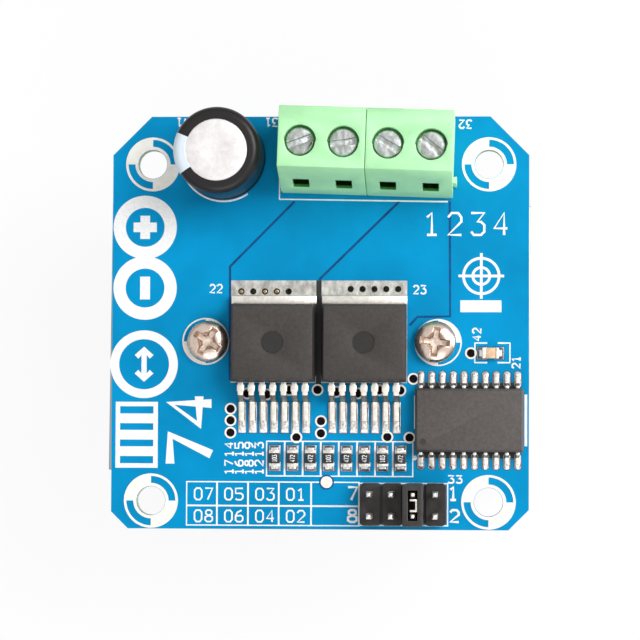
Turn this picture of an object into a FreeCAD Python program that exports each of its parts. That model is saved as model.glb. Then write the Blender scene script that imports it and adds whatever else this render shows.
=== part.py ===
"""Motor driver module: circuit board with two power drivers, screw terminals and a finned heatsink.

Millimetres, +Z up. The origin is the centre of the four mounting holes, on the underside of the board.
+X points to the right and +Y to the edge that carries the screw terminals.
"""
import FreeCAD, Part
import math
import os

os.makedirs("parts", exist_ok=True)

# Circuit board
BOARD_LENGTH = 49.5
BOARD_WIDTH = 49.0
BOARD_THICKNESS = 1.6
BOARD_SHIFT_Y = 1.2
TERMINAL_CORNER_CUT = 4.6
HEADER_CORNER_CUT_LEFT = 2.0
HEADER_CORNER_CUT_RIGHT = 2.4
MOUNTING_PITCH = 40.0
MOUNTING_END_INSET = 4.75
MOUNTING_HOLE = 3.4
VIA_HOLE = 0.8

# Through-hole leads below the board
LEAD_TAIL = 1.4

# Heatsink, its pad and its screws
HEATSINK_LENGTH = 50.0
HEATSINK_DEPTH = 32.0
HEATSINK_HEIGHT = 28.5
HEATSINK_BASE = 4.0
HEATSINK_TURN = -0.5
HEATSINK_CENTRE_X = -0.15
HEATSINK_CENTRE_Y = -0.6
FIN_COUNT = 11
FIN_ROOT = 1.7
FIN_TIP = 1.1
FIN_ROOT_RADIUS = 0.5
PAD_THICKNESS = 0.3
PAD_MARGIN = 1.5
SCREW_SPACING = 27.0
SCREW_OFFSET_X = 0.235
SCREW_CENTRE_Y = -1.1
SCREW_DIAMETER = 2.5
SCREW_HEAD = 4.9
SCREW_HEAD_HEIGHT = 1.9
SCREW_HEAD_RIM = 0.85
SCREW_DOME = 0.72
SCREW_LENGTH = 5.0
SCREW_THREAD_CLEARANCE = 0.05
TAPPED_DEPTH = 3.6
SCREW_BOARD_HOLE = 3.4
SCREW_BOARD_SPACING = 27.8
CROSS_WIDTH = 0.7
CROSS_SPAN = 3.2
CROSS_DEPTH = 1.2
CROSS_ANGLES = (15.0, 5.0)

# Electrolytic capacitor
CAPACITOR_X = -11.55
CAPACITOR_Y = 20.75
CAN_DIAMETER = 9.9
CAN_HEIGHT = 10.6
CAN_EDGE_RADIUS = 0.9
CAN_EDGE_COUNT = 2
CAN_BEAD_HEIGHT = 1.9
CAN_BEAD_RADIUS = 0.45
CAN_STANDOFF = 0.2
SLEEVE_THICKNESS = 0.1
SLEEVE_LIP = 1.45
SLEEVE_END = 0.5
BUNG_DIAMETER = 8.8
BUNG_HEIGHT = 1.3
CAPACITOR_LEAD = 0.6
CAPACITOR_PITCH = 5.0
CAPACITOR_HOLE = 0.9

# Screw terminal blocks
TERMINAL_X = 5.75
TERMINAL_Y = 21.45
TERMINAL_TURN = -1.85
TERMINAL_BLOCK_PITCH = 10.15
POLE_PITCH = 5.0
HOUSING_WIDTH = 10.08
HOUSING_HEIGHT = 12.0
HOUSING_FRONT = 4.1
HOUSING_BACK = 5.17
HOUSING_TOP_BACK = 3.0
HOUSING_SLOPE_FOOT = 3.0
FRONT_BEVEL = 0.95
FRONT_BEVEL_DROP = 0.6
FLOOR = 0.9
LEDGE = 0.5
WINDOW_WIDTH = 1.9
WINDOW_BOTTOM = 4.6
WINDOW_HEIGHT = 2.8
POCKET_WALL = 0.75
ENTRY_WIDTH = 3.8
ENTRY_BOTTOM = 1.2
ENTRY_HEIGHT = 3.7
RIB_WIDTH = 0.9
RIB_NECK = 0.6
RIB_DEPTH = 0.45
RIB_BACK = 3.5
RIB_HEIGHT = 6.0
RIB_CLEARANCE = 0.08

# Rising cage clamps, one in each pole
CAGE_WIDTH = 3.6
CAGE_DEPTH = 4.2
CAGE_WALL = 0.5
CAGE_BOTTOM = 0.7
CAGE_TOP = 1.4
CAGE_OPENING = 2.6
CAGE_TRAVEL = 2.5
CAGE_CORNER = 0.4
CAGE_CLEARANCE = 0.1
BAR_THICKNESS = 0.8
BAR_WIDTH = 2.2
BAR_CLEARANCE = 0.1
CONTACT_FIT = 0.05
CONTACT_PIN = 1.0
CONTACT_HOLE = 1.5
CLAMP_SCREW = 2.5
CLAMP_THREAD_CLEARANCE = 0.05
CLAMP_HEAD = 3.25
CLAMP_HEAD_HEIGHT = 1.45
CLAMP_HEAD_EDGE = 0.12
CLAMP_HEAD_CLEARANCE = 0.16
CLAMP_NOTCH = 0.1
CLAMP_PLAY = 0.05
SLOT_WIDTH = 0.75
SLOT_DEPTH = 0.75
SLOT_ANGLES = (20.0, 8.0, -30.0, -40.0)

# Power drivers, TO-263 with seven leads
DRIVER_GAP = 0.73
DRIVER_BUFFER_GAP = 0.99
DRIVER_TOP_EDGE_Y = 3.05
DRIVER_WIDTH = 10.0
DRIVER_LENGTH = 9.2
DRIVER_HEIGHT = 4.4
DRIVER_PARTING = 2.4
DRIVER_FACE_INSET = 0.3
DRIVER_TAB_BEVEL = 0.25
TAB_WIDTH = 10.1
TAB_THICKNESS = 1.27
TAB_REACH = 1.05
SLUG_WIDTH = 8.4
SLUG_LENGTH = 7.0
DRIVER_LEAD_COUNT = 7
LEAD_PITCH = 1.27
DRIVER_LEAD_WIDTH = 0.65
DRIVER_LEAD_THICKNESS = 0.5
DRIVER_LEAD_SHOULDER = 1.6
DRIVER_LEAD_DROP = 0.75
DRIVER_LEAD_REACH = 4.6
DAM_WIDTH = 0.86
DAM_START = 0.35
DAM_LENGTH = 0.8
EJECTOR_DIAMETER = 2.6
EJECTOR_DEPTH = 0.08
SOLDER_SEAT = 0.1

# Thermal vias beside the tab of each driver
TAB_VIA_COUNT = 5
TAB_VIA_PITCH = 1.41
TAB_VIA_OFFSETS = (-1.15, 1.12)
TAB_VIA_Y = (4.87, 5.17)

# Buffer, small outline with twenty leads
BUFFER_END_INSET = 7.03
BUFFER_Y = -10.35
BUFFER_LENGTH = 12.8
BUFFER_WIDTH = 7.5
BUFFER_HEIGHT = 2.35
BUFFER_FACE_INSET = 0.25
BUFFER_LEAD_COUNT = 10
BUFFER_SPAN = 10.3
BUFFER_LEAD_WIDTH = 0.42
BUFFER_LEAD_THICKNESS = 0.25
BUFFER_LEAD_SHOULDER = 0.35
BUFFER_LEAD_DROP = 0.3
PIN_ONE_DIAMETER = 0.8
PIN_ONE_INSET_X = 0.95
PIN_ONE_INSET_Y = 1.2
PIN_ONE_DEPTH = 0.12

# Chip resistors and the ceramic capacitor
CHIP_LENGTH = 2.0
CHIP_WIDTH = 1.25
CHIP_END = 0.4
CHIP_END_LAP = 0.03
RESISTOR_COUNT = 8
RESISTOR_PITCH = 2.13
RESISTOR_ROW_OFFSET = 2.19
RESISTOR_Y = -14.9
RESISTOR_THICKNESS = 0.55
CERAMIC_END_INSET = 4.54
CERAMIC_Y = -2.4
CERAMIC_THICKNESS = 0.9

# Pin header and jumper
HEADER_END_INSET = 14.79
HEADER_Y = -20.28
HEADER_COLUMN_COUNT = 4
HEADER_ROW_COUNT = 2
HEADER_PITCH = 2.54
HEADER_DEPTH = 5.0
HEADER_HEIGHT = 2.5
HEADER_GROOVE = 0.35
PIN_SIZE = 0.64
PIN_ABOVE = 6.0
PIN_TIP = 0.45
PIN_TIP_SIZE = 0.34
PIN_HOLE = 1.0
JUMPER_SKIP_COUNT = 2
JUMPER_WIDTH = 2.4
JUMPER_DEPTH = 4.9
JUMPER_HEIGHT = 5.8
JUMPER_PLAY = 0.1
JUMPER_CORNER = 0.25
JUMPER_CAVITY_LEFT = 0.55
JUMPER_CAVITY_RIGHT = 0.55
JUMPER_CAVITY_DEPTH = 3.5
CLIP_THICKNESS = 0.25
CLIP_HALF_SPAN = 0.75
CLIP_ARM = 0.65
CLIP_INSET = 0.3
CLIP_CONTACT_FIT = 0.02
CLIP_CONTACT_HEIGHT = 1.5

OVERCUT = 1.0
BOARD_TOP = BOARD_THICKNESS
BOARD_RIGHT = BOARD_LENGTH / 2
BUFFER_X = BOARD_RIGHT - BUFFER_END_INSET
CERAMIC_X = BOARD_RIGHT - CERAMIC_END_INSET
HEADER_X = BOARD_RIGHT - HEADER_END_INSET
DRIVER_RIGHT_X = BUFFER_X - BUFFER_LENGTH / 2 - DRIVER_BUFFER_GAP - DRIVER_WIDTH / 2
DRIVER_LEFT_X = DRIVER_RIGHT_X - DRIVER_WIDTH - DRIVER_GAP
DRIVER_X = (DRIVER_LEFT_X, DRIVER_RIGHT_X)
DRIVERS_CENTRE_X = (DRIVER_LEFT_X + DRIVER_RIGHT_X) / 2
SCREW_CENTRE_X = DRIVERS_CENTRE_X + SCREW_OFFSET_X


def vector(x, y, z):
    return FreeCAD.Vector(x, y, z)


def save(node, shape):
    shape.exportStep(os.path.join("parts", node + ".step"))


def box(x0, x1, y0, y1, z0, z1):
    return Part.makeBox(x1 - x0, y1 - y0, z1 - z0, vector(x0, y0, z0))


def centred_box(x, y, length, width, z0, z1):
    return box(x - length / 2, x + length / 2, y - width / 2, y + width / 2, z0, z1)


def rod(x, y, diameter, z0, z1):
    return Part.makeCylinder(diameter / 2, z1 - z0, vector(x, y, z0))


def plate(corners, z0, z1):
    """A flat plate whose outline is a closed polygon of (x, y) corners."""
    outline = [vector(x, y, z0) for x, y in corners]
    outline.append(outline[0])
    return Part.Face(Part.makePolygon(outline)).extrude(vector(0, 0, z1 - z0))


def side_profile(corners, x0, x1):
    """A prism along X whose section is a closed polygon of (y, z) corners."""
    outline = [vector(x0, y, z) for y, z in corners]
    outline.append(outline[0])
    return Part.Face(Part.makePolygon(outline)).extrude(vector(x1 - x0, 0, 0))


def revolved(section):
    """A solid of revolution about the Z axis from a closed polygon of (radius, z) corners."""
    outline = [vector(radius, 0, z) for radius, z in section]
    outline.append(outline[0])
    return Part.Face(Part.makePolygon(outline)).revolve(vector(0, 0, 0), vector(0, 0, 1), 360)


def rectangle(x0, x1, y0, y1, z):
    corners = [vector(x0, y0, z), vector(x1, y0, z), vector(x1, y1, z), vector(x0, y1, z)]
    return Part.makePolygon(corners + corners[:1])


def tapered(low, high):
    """A solid between two four-cornered outlines, with flat sides."""
    near = [vertex.Point for vertex in low.OrderedVertexes]
    far = [vertex.Point for vertex in high.OrderedVertexes]
    faces = [Part.Face(low), Part.Face(high)]
    for i in range(len(near)):
        j = (i + 1) % len(near)
        faces.append(Part.Face(Part.makePolygon([near[i], near[j], far[j], far[i], near[i]])))
    return Part.makeSolid(Part.makeShell(faces))


def turned(shape, angle, x=0.0, y=0.0):
    copy = shape.copy()
    copy.rotate(vector(x, y, 0), vector(0, 0, 1), angle)
    return copy


def moved(shape, x, y, z):
    copy = shape.copy()
    copy.translate(vector(x, y, z))
    return copy


def evenly(count, pitch, centre=0.0):
    """Places of a row of equal steps about its centre."""
    return [centre + (i - (count - 1) / 2) * pitch for i in range(count)]


def cut_all(shape, tools):
    return shape.cut(Part.makeCompound(tools))


# Places that several pieces share

def mounting_places():
    reach = BOARD_RIGHT - MOUNTING_END_INSET
    return [(x, y) for x in (-reach, reach) for y in evenly(2, MOUNTING_PITCH)]


def heatsink_screw_places():
    """The tapped holes, which follow the slight turn of the heatsink."""
    places = []
    for x in evenly(2, SCREW_SPACING):
        arm = vector(x, 0, 0)
        turn = FreeCAD.Rotation(vector(0, 0, 1), HEATSINK_TURN)
        spot = turn.multVec(arm)
        places.append((SCREW_CENTRE_X + spot.x, SCREW_CENTRE_Y + spot.y))
    return places


def board_screw_places():
    return [(x, SCREW_CENTRE_Y) for x in evenly(2, SCREW_BOARD_SPACING, SCREW_CENTRE_X)]


def capacitor_lead_places():
    return [(x, CAPACITOR_Y) for x in evenly(2, CAPACITOR_PITCH, CAPACITOR_X)]


def header_places():
    columns = evenly(HEADER_COLUMN_COUNT, HEADER_PITCH, HEADER_X)
    rows = evenly(HEADER_ROW_COUNT, HEADER_PITCH, HEADER_Y)
    return [(x, y) for x in columns for y in rows]


def pole_offsets():
    """Distance of each pole from the middle of the terminal row, left to right."""
    blocks = evenly(2, TERMINAL_BLOCK_PITCH)
    return [block + pole for block in blocks for pole in evenly(2, POLE_PITCH)]


def on_terminal_row(shape):
    """Sets a shape drawn about the middle of the row, on the board, at the row's slight turn."""
    return moved(turned(shape, TERMINAL_TURN), TERMINAL_X, TERMINAL_Y, BOARD_TOP)


# Circuit board

def make_board():
    left = -BOARD_RIGHT
    right = BOARD_RIGHT
    near = BOARD_SHIFT_Y - BOARD_WIDTH / 2
    far = BOARD_SHIFT_Y + BOARD_WIDTH / 2
    outline = [
        (left, near + HEADER_CORNER_CUT_LEFT),
        (left + HEADER_CORNER_CUT_LEFT, near),
        (right - HEADER_CORNER_CUT_RIGHT, near),
        (right, near + HEADER_CORNER_CUT_RIGHT),
        (right, far - TERMINAL_CORNER_CUT),
        (right - TERMINAL_CORNER_CUT, far),
        (left + TERMINAL_CORNER_CUT, far),
        (left, far - TERMINAL_CORNER_CUT),
    ]
    board = plate(outline, 0, BOARD_THICKNESS)
    groups = [
        (mounting_places(), MOUNTING_HOLE),
        (board_screw_places(), SCREW_BOARD_HOLE),
        (capacitor_lead_places(), CAPACITOR_HOLE),
        (header_places(), PIN_HOLE),
    ]
    for x, offset, y in zip(DRIVER_X, TAB_VIA_OFFSETS, TAB_VIA_Y):
        groups.append(([(via, y) for via in evenly(TAB_VIA_COUNT, TAB_VIA_PITCH, x + offset)], VIA_HOLE))
    drills = [
        rod(x, y, hole, -OVERCUT, BOARD_THICKNESS + OVERCUT)
        for places, hole in groups for x, y in places
    ]
    for offset in pole_offsets():
        drill = rod(offset, -contact_leg_centre(), CONTACT_HOLE, -BOARD_THICKNESS - OVERCUT, OVERCUT)
        drills.append(on_terminal_row(drill))
    return cut_all(board, drills)


# Heatsink

def make_heatsink():
    """Extruded comb: a flat base with tapered fins along Y."""
    half = HEATSINK_LENGTH / 2
    top = -PAD_THICKNESS
    root = top - HEATSINK_BASE
    tip = top - HEATSINK_HEIGHT
    section = [(-half, top), (half, top)]
    for x in reversed(evenly(FIN_COUNT, (HEATSINK_LENGTH - FIN_ROOT) / (FIN_COUNT - 1))):
        section.append((x + FIN_ROOT / 2, root))
        section.append((x + FIN_TIP / 2, tip))
        section.append((x - FIN_TIP / 2, tip))
        section.append((x - FIN_ROOT / 2, root))
    outline = [vector(x, -HEATSINK_DEPTH / 2, z) for x, z in section]
    outline.append(outline[0])
    comb = Part.Face(Part.makePolygon(outline)).extrude(vector(0, HEATSINK_DEPTH, 0))
    roots = [
        edge for edge in comb.Edges
        if edge.BoundBox.YLength > HEATSINK_DEPTH / 2
        and abs(edge.BoundBox.Center.z - root) < FIN_ROOT_RADIUS
        and abs(edge.BoundBox.Center.x) < half - FIN_ROOT / 2
    ]
    comb = comb.makeFillet(FIN_ROOT_RADIUS, roots)
    comb = moved(turned(comb, HEATSINK_TURN), HEATSINK_CENTRE_X, HEATSINK_CENTRE_Y, 0)
    bore = SCREW_DIAMETER + 2 * SCREW_THREAD_CLEARANCE
    tapped = [rod(x, y, bore, top - TAPPED_DEPTH, top + OVERCUT) for x, y in heatsink_screw_places()]
    return cut_all(comb, tapped)


def make_thermal_pad():
    length = HEATSINK_LENGTH - 2 * PAD_MARGIN
    width = HEATSINK_DEPTH - 2 * PAD_MARGIN
    pad = turned(centred_box(0, 0, length, width, -PAD_THICKNESS, 0), HEATSINK_TURN)
    pad = moved(pad, HEATSINK_CENTRE_X, HEATSINK_CENTRE_Y, 0)
    holes = [rod(x, y, SCREW_BOARD_HOLE, -OVERCUT, OVERCUT) for x, y in heatsink_screw_places()]
    return cut_all(pad, holes)


def make_heatsink_screw(x, y, cross_angle):
    """Pan head screw with a cross recess, seated on the board and held in the heatsink base."""
    head_radius = SCREW_HEAD / 2
    shoulder = SCREW_HEAD_RIM + (SCREW_HEAD_HEIGHT - SCREW_HEAD_RIM) * SCREW_DOME
    head = revolved([
        (0, 0), (head_radius, 0), (head_radius, SCREW_HEAD_RIM),
        (head_radius * SCREW_DOME, shoulder), (0, SCREW_HEAD_HEIGHT),
    ])
    blade = centred_box(0, 0, CROSS_SPAN, CROSS_WIDTH, 0, SCREW_HEAD_HEIGHT + OVERCUT)
    blades = [turned(blade, cross_angle + quarter) for quarter in (0, 90)]
    point = SCREW_HEAD_HEIGHT - CROSS_DEPTH
    flare = (CROSS_SPAN - CROSS_WIDTH) / 2 / CROSS_DEPTH
    mouth = CROSS_SPAN / 2 + flare * OVERCUT
    cone = Part.makeCone(CROSS_WIDTH / 2, mouth, CROSS_DEPTH + OVERCUT, vector(0, 0, point))
    recess = blades[0].fuse(blades[1]).common(cone)
    head = head.cut(recess)
    screw = head.fuse(rod(0, 0, SCREW_DIAMETER, -SCREW_LENGTH, 0))
    return moved(screw, x, y, BOARD_TOP)


# Electrolytic capacitor

def can_solid(skin):
    """The can's outer form, grown by a skin: rounded top edge and a rolled groove near the foot."""
    radius = CAN_DIAMETER / 2 + skin
    top = CAN_HEIGHT + skin
    corner = CAN_EDGE_RADIUS + skin
    bead = CAN_BEAD_RADIUS - skin
    section = [(0, 0), (radius, 0)]
    section.append((radius, CAN_BEAD_HEIGHT - bead))
    section.append((radius - bead, CAN_BEAD_HEIGHT))
    section.append((radius, CAN_BEAD_HEIGHT + bead))
    for step in range(CAN_EDGE_COUNT + 1):
        angle = math.radians(90 * step / CAN_EDGE_COUNT)
        section.append((radius - corner + corner * math.cos(angle), top - corner + corner * math.sin(angle)))
    section.append((0, top))
    return moved(revolved(section), CAPACITOR_X, CAPACITOR_Y, BOARD_TOP + CAN_STANDOFF)


def make_can():
    foot = BOARD_TOP + CAN_STANDOFF
    mouth = rod(CAPACITOR_X, CAPACITOR_Y, BUNG_DIAMETER, foot - OVERCUT, foot + BUNG_HEIGHT)
    return can_solid(0).cut(mouth)


def make_sleeve():
    """Shrunk sleeve: it wraps the can and laps over the top edge as a flat ring."""
    foot = BOARD_TOP + CAN_STANDOFF
    top = foot + CAN_HEIGHT
    opening = CAN_DIAMETER - 2 * SLEEVE_LIP
    open_top = rod(CAPACITOR_X, CAPACITOR_Y, opening, top - OVERCUT, top + OVERCUT)
    below = centred_box(
        CAPACITOR_X, CAPACITOR_Y, 2 * CAN_DIAMETER, 2 * CAN_DIAMETER, foot - OVERCUT, foot + SLEEVE_END)
    return can_solid(SLEEVE_THICKNESS).cut(can_solid(0)).cut(open_top).cut(below)


def make_bung():
    foot = BOARD_TOP + CAN_STANDOFF
    return rod(CAPACITOR_X, CAPACITOR_Y, BUNG_DIAMETER, foot, foot + BUNG_HEIGHT)


def capacitor_lead(x, y):
    return rod(x, y, CAPACITOR_LEAD, -LEAD_TAIL, BOARD_TOP + CAN_STANDOFF)


# Heights inside a terminal block, above the board

CAGE_REST = FLOOR + CAGE_CLEARANCE
BAR_UNDERSIDE = CAGE_REST + CAGE_BOTTOM + CAGE_OPENING
BAR_TOP = BAR_UNDERSIDE + BAR_THICKNESS
CAGE_PLATE = BAR_TOP + CAGE_CLEARANCE
CAGE_HEIGHT = CAGE_PLATE + CAGE_TOP - CAGE_REST
LEDGE_UNDERSIDE = CAGE_REST + CAGE_HEIGHT + CAGE_TRAVEL + CAGE_CLEARANCE
HEAD_UNDERSIDE = LEDGE_UNDERSIDE + LEDGE + CLAMP_PLAY


def contact_leg_centre():
    """How far behind the screws the contact's leg goes down through the board."""
    return CAGE_DEPTH / 2 + CAGE_CLEARANCE + BAR_CLEARANCE + BAR_THICKNESS / 2


def rib(side, grow):
    """Dovetail rib on the right flank, or the groove that takes it, on one flank of a block."""
    neck = RIB_NECK / 2 + grow
    head = RIB_WIDTH / 2 + grow
    reach = RIB_DEPTH + grow
    corners = [
        (side - grow, -RIB_BACK - neck),
        (side + reach, -RIB_BACK - head),
        (side + reach, -RIB_BACK + head),
        (side - grow, -RIB_BACK + neck),
    ]
    return plate(corners, -grow, RIB_HEIGHT + grow)


def pole_cuts(u):
    """What one pole leaves open: cage shaft, screw well, contact slot, window with its pocket, entry."""
    half_width = CAGE_WIDTH / 2 + CAGE_CLEARANCE
    half_depth = CAGE_DEPTH / 2 + CAGE_CLEARANCE
    shaft = box(u - half_width, u + half_width, -half_depth, half_depth, FLOOR, LEDGE_UNDERSIDE)
    shank = rod(u, 0, CLAMP_SCREW + 2 * CAGE_CLEARANCE, LEDGE_UNDERSIDE - OVERCUT, HOUSING_HEIGHT)
    ledge_top = LEDGE_UNDERSIDE + LEDGE
    well = CLAMP_HEAD + 2 * CLAMP_HEAD_CLEARANCE
    near_well = rod(u, 0, well, ledge_top, HOUSING_HEIGHT + OVERCUT)
    far_well = Part.makeCylinder(
        well / 2 + CLAMP_NOTCH, HOUSING_HEIGHT + OVERCUT - ledge_top,
        vector(u, 0, ledge_top), vector(0, 0, 1), 180)
    slot_half = BAR_WIDTH / 2 + CONTACT_FIT
    leg_back = contact_leg_centre() + BAR_THICKNESS / 2 + CONTACT_FIT
    slot = box(u - slot_half, u + slot_half, -leg_back, -half_depth, -OVERCUT, BAR_TOP + CONTACT_FIT)
    window = box(
        u - WINDOW_WIDTH / 2, u + WINDOW_WIDTH / 2, -HOUSING_BACK - OVERCUT, -half_depth,
        WINDOW_BOTTOM, WINDOW_BOTTOM + WINDOW_HEIGHT)
    pocket = box(
        u - WINDOW_WIDTH / 2, u + WINDOW_WIDTH / 2, POCKET_WALL - HOUSING_BACK, CONTACT_FIT - leg_back,
        FLOOR, WINDOW_BOTTOM + CONTACT_FIT)
    entry_top = ENTRY_BOTTOM + ENTRY_HEIGHT
    mouth_inner = rectangle_across(
        u, half_depth - CONTACT_FIT, BAR_WIDTH, CAGE_REST + CAGE_BOTTOM, BAR_UNDERSIDE)
    mouth_outer = rectangle_across(u, HOUSING_FRONT, ENTRY_WIDTH, ENTRY_BOTTOM, entry_top)
    entry = tapered(mouth_inner, mouth_outer)
    return [shaft, shank, near_well, far_well, slot, window, pocket, entry]


def rectangle_across(u, v, width, low, high):
    """An upright rectangle across the wire's way in."""
    corners = [(u - width / 2, low), (u + width / 2, low), (u + width / 2, high), (u - width / 2, high)]
    outline = [vector(x, v, z) for x, z in corners]
    return Part.makePolygon(outline + outline[:1])


def make_housing(block):
    section = [
        (-HOUSING_BACK, 0),
        (HOUSING_FRONT, 0),
        (HOUSING_FRONT, HOUSING_HEIGHT - FRONT_BEVEL_DROP),
        (HOUSING_FRONT - FRONT_BEVEL, HOUSING_HEIGHT),
        (-HOUSING_TOP_BACK, HOUSING_HEIGHT),
        (-HOUSING_BACK, HOUSING_SLOPE_FOOT),
    ]
    centre = evenly(2, TERMINAL_BLOCK_PITCH)[block]
    left = centre - HOUSING_WIDTH / 2
    right = centre + HOUSING_WIDTH / 2
    housing = side_profile(section, left, right)
    clip_to_slope = side_profile(
        [(-HOUSING_BACK, 0), (0, 0), (0, HOUSING_HEIGHT), (-HOUSING_TOP_BACK, HOUSING_HEIGHT),
         (-HOUSING_BACK, HOUSING_SLOPE_FOOT)], right - OVERCUT, right + OVERCUT)
    housing = housing.fuse(rib(right, 0).common(clip_to_slope))
    housing = cut_all(housing, [rib(left, RIB_CLEARANCE)])
    for pole in evenly(2, POLE_PITCH, centre):
        housing = cut_all(housing, pole_cuts(pole))
    return on_terminal_row(housing.removeSplitter())


def make_cage(offset):
    """Clamp cage: a square loop round the contact bar, with a thick threaded top."""
    half_width = CAGE_WIDTH / 2
    half_depth = CAGE_DEPTH / 2
    cage = box(offset - half_width, offset + half_width, -half_depth, half_depth,
               CAGE_REST, CAGE_REST + CAGE_HEIGHT)
    corners = [edge for edge in cage.Edges if edge.BoundBox.YLength > half_depth]
    cage = cage.makeFillet(CAGE_CORNER, corners)
    inner = half_width - CAGE_WALL
    window = box(offset - inner, offset + inner, -half_depth - OVERCUT, half_depth + OVERCUT,
                 CAGE_REST + CAGE_BOTTOM, CAGE_PLATE)
    thread = rod(offset, 0, CLAMP_SCREW + 2 * CLAMP_THREAD_CLEARANCE, CAGE_PLATE - OVERCUT / 2,
                 CAGE_REST + CAGE_HEIGHT + OVERCUT)
    return on_terminal_row(cut_all(cage, [window, thread]))


def make_contact(offset):
    """Contact: a flat bar through the cage, a leg behind it, and a solder pin through the board."""
    half = BAR_WIDTH / 2
    leg = contact_leg_centre()
    leg_back = leg + BAR_THICKNESS / 2
    leg_front = leg - BAR_THICKNESS / 2
    bar = box(offset - half, offset + half, -leg_back, CAGE_DEPTH / 2, BAR_UNDERSIDE, BAR_TOP)
    upright = box(offset - half, offset + half, -leg_back, -leg_front, CONTACT_FIT, BAR_TOP)
    pin = centred_box(offset, -leg, CONTACT_PIN, BAR_THICKNESS, -BOARD_THICKNESS - LEAD_TAIL, BAR_TOP)
    return on_terminal_row(bar.fuse([upright, pin]).removeSplitter())


def make_clamp_screw(offset, slot_angle):
    """Slotted cheese head screw that turns in place between the ledge and the contact bar."""
    tip = BAR_TOP + BAR_CLEARANCE
    shank = rod(offset, 0, CLAMP_SCREW, tip, HEAD_UNDERSIDE)
    head_top = HEAD_UNDERSIDE + CLAMP_HEAD_HEIGHT
    head = rod(offset, 0, CLAMP_HEAD, HEAD_UNDERSIDE, head_top)
    rims = [edge for edge in head.Edges if abs(edge.BoundBox.Center.z - head_top) < CLAMP_PLAY
            and edge.BoundBox.XLength > CLAMP_HEAD / 2]
    head = head.makeChamfer(CLAMP_HEAD_EDGE, rims)
    slot = centred_box(
        offset, 0, CLAMP_HEAD + OVERCUT, SLOT_WIDTH, head_top - SLOT_DEPTH, head_top + OVERCUT)
    screw = shank.fuse(head).cut(turned(slot, slot_angle - TERMINAL_TURN, offset, 0))
    return on_terminal_row(screw)


# Power drivers

def driver_mid_y():
    return DRIVER_TOP_EDGE_Y + DRIVER_TAB_BEVEL - DRIVER_LENGTH / 2


def make_driver_body(x):
    """Moulded body: widest at the parting line, drafted above and below, round ejector mark on top."""
    half = DRIVER_WIDTH / 2
    tab_side = driver_mid_y() + DRIVER_LENGTH / 2
    lead_side = driver_mid_y() - DRIVER_LENGTH / 2
    base = BOARD_TOP + SOLDER_SEAT
    parting = base + DRIVER_PARTING
    top = base + DRIVER_HEIGHT
    inset = DRIVER_FACE_INSET
    tab_bevel = DRIVER_TAB_BEVEL
    low = rectangle(x - half + inset / 2, x + half - inset / 2, lead_side + inset, tab_side, base)
    mid = rectangle(x - half, x + half, lead_side, tab_side, parting)
    high = rectangle(x - half + inset, x + half - inset, lead_side + inset, tab_side - tab_bevel, top)
    body = tapered(low, mid).fuse(tapered(mid, high))
    ejector = rod(x, driver_mid_y(), EJECTOR_DIAMETER, top - EJECTOR_DEPTH, top + OVERCUT)
    return cut_all(body, [ejector, make_driver_tab(x)]).removeSplitter()


def make_driver_tab(x):
    """Heat slug under the body, which widens into the soldered tab beyond it."""
    tab_side = driver_mid_y() + DRIVER_LENGTH / 2
    base = BOARD_TOP + SOLDER_SEAT
    slug = box(x - SLUG_WIDTH / 2, x + SLUG_WIDTH / 2, tab_side - SLUG_LENGTH, tab_side,
               base, base + TAB_THICKNESS)
    tab = box(x - TAB_WIDTH / 2, x + TAB_WIDTH / 2, tab_side, tab_side + TAB_REACH,
              base, base + TAB_THICKNESS)
    return slug.fuse(tab).removeSplitter()


def gull_lead(x, body_face, reach, height, shoulder, drop, thickness, width, outward):
    """One bent lead: level shoulder at the body, a slanted drop and a flat foot on the board."""
    base = BOARD_TOP + SOLDER_SEAT
    top = base + height + thickness / 2
    lean = drop / max(height, thickness) * thickness
    stations = [
        (0, top),
        (shoulder, top),
        (shoulder + drop, base + thickness),
        (reach, base + thickness),
        (reach, base),
        (shoulder + drop - lean, base),
        (shoulder - lean, top - thickness),
        (0, top - thickness),
    ]
    section = [(body_face + outward * distance, z) for distance, z in stations]
    return side_profile(section, x - width / 2, x + width / 2)


def make_driver_leads(x):
    face = driver_mid_y() - DRIVER_LENGTH / 2
    leads = []
    for place in evenly(DRIVER_LEAD_COUNT, LEAD_PITCH, x):
        lead = gull_lead(place, face, DRIVER_LEAD_REACH, DRIVER_PARTING, DRIVER_LEAD_SHOULDER,
                         DRIVER_LEAD_DROP, DRIVER_LEAD_THICKNESS, DRIVER_LEAD_WIDTH, -1)
        top = BOARD_TOP + SOLDER_SEAT + DRIVER_PARTING + DRIVER_LEAD_THICKNESS / 2
        dam_centre = face - DAM_START - DAM_LENGTH / 2
        dam = centred_box(place, dam_centre, DAM_WIDTH, DAM_LENGTH, top - DRIVER_LEAD_THICKNESS, top)
        leads.append(lead.fuse(dam).removeSplitter())
    return Part.makeCompound(leads)


# Buffer

def make_buffer_body():
    base = BOARD_TOP + 2 * SOLDER_SEAT
    top = BOARD_TOP + SOLDER_SEAT + BUFFER_HEIGHT
    parting = (base + top) / 2
    inset = BUFFER_FACE_INSET

    def ring(shrink, z):
        return rectangle(
            BUFFER_X - BUFFER_LENGTH / 2 + shrink, BUFFER_X + BUFFER_LENGTH / 2 - shrink,
            BUFFER_Y - BUFFER_WIDTH / 2 + shrink, BUFFER_Y + BUFFER_WIDTH / 2 - shrink, z)

    lower = tapered(ring(inset, base), ring(0, parting))
    upper = tapered(ring(0, parting), ring(inset, top))
    dimple_x = BUFFER_X - BUFFER_LENGTH / 2 + PIN_ONE_INSET_X
    dimple_y = BUFFER_Y - BUFFER_WIDTH / 2 + PIN_ONE_INSET_Y
    dimple = rod(dimple_x, dimple_y, PIN_ONE_DIAMETER, top - PIN_ONE_DEPTH, top + OVERCUT)
    return lower.fuse(upper).cut(dimple).removeSplitter()


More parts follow.
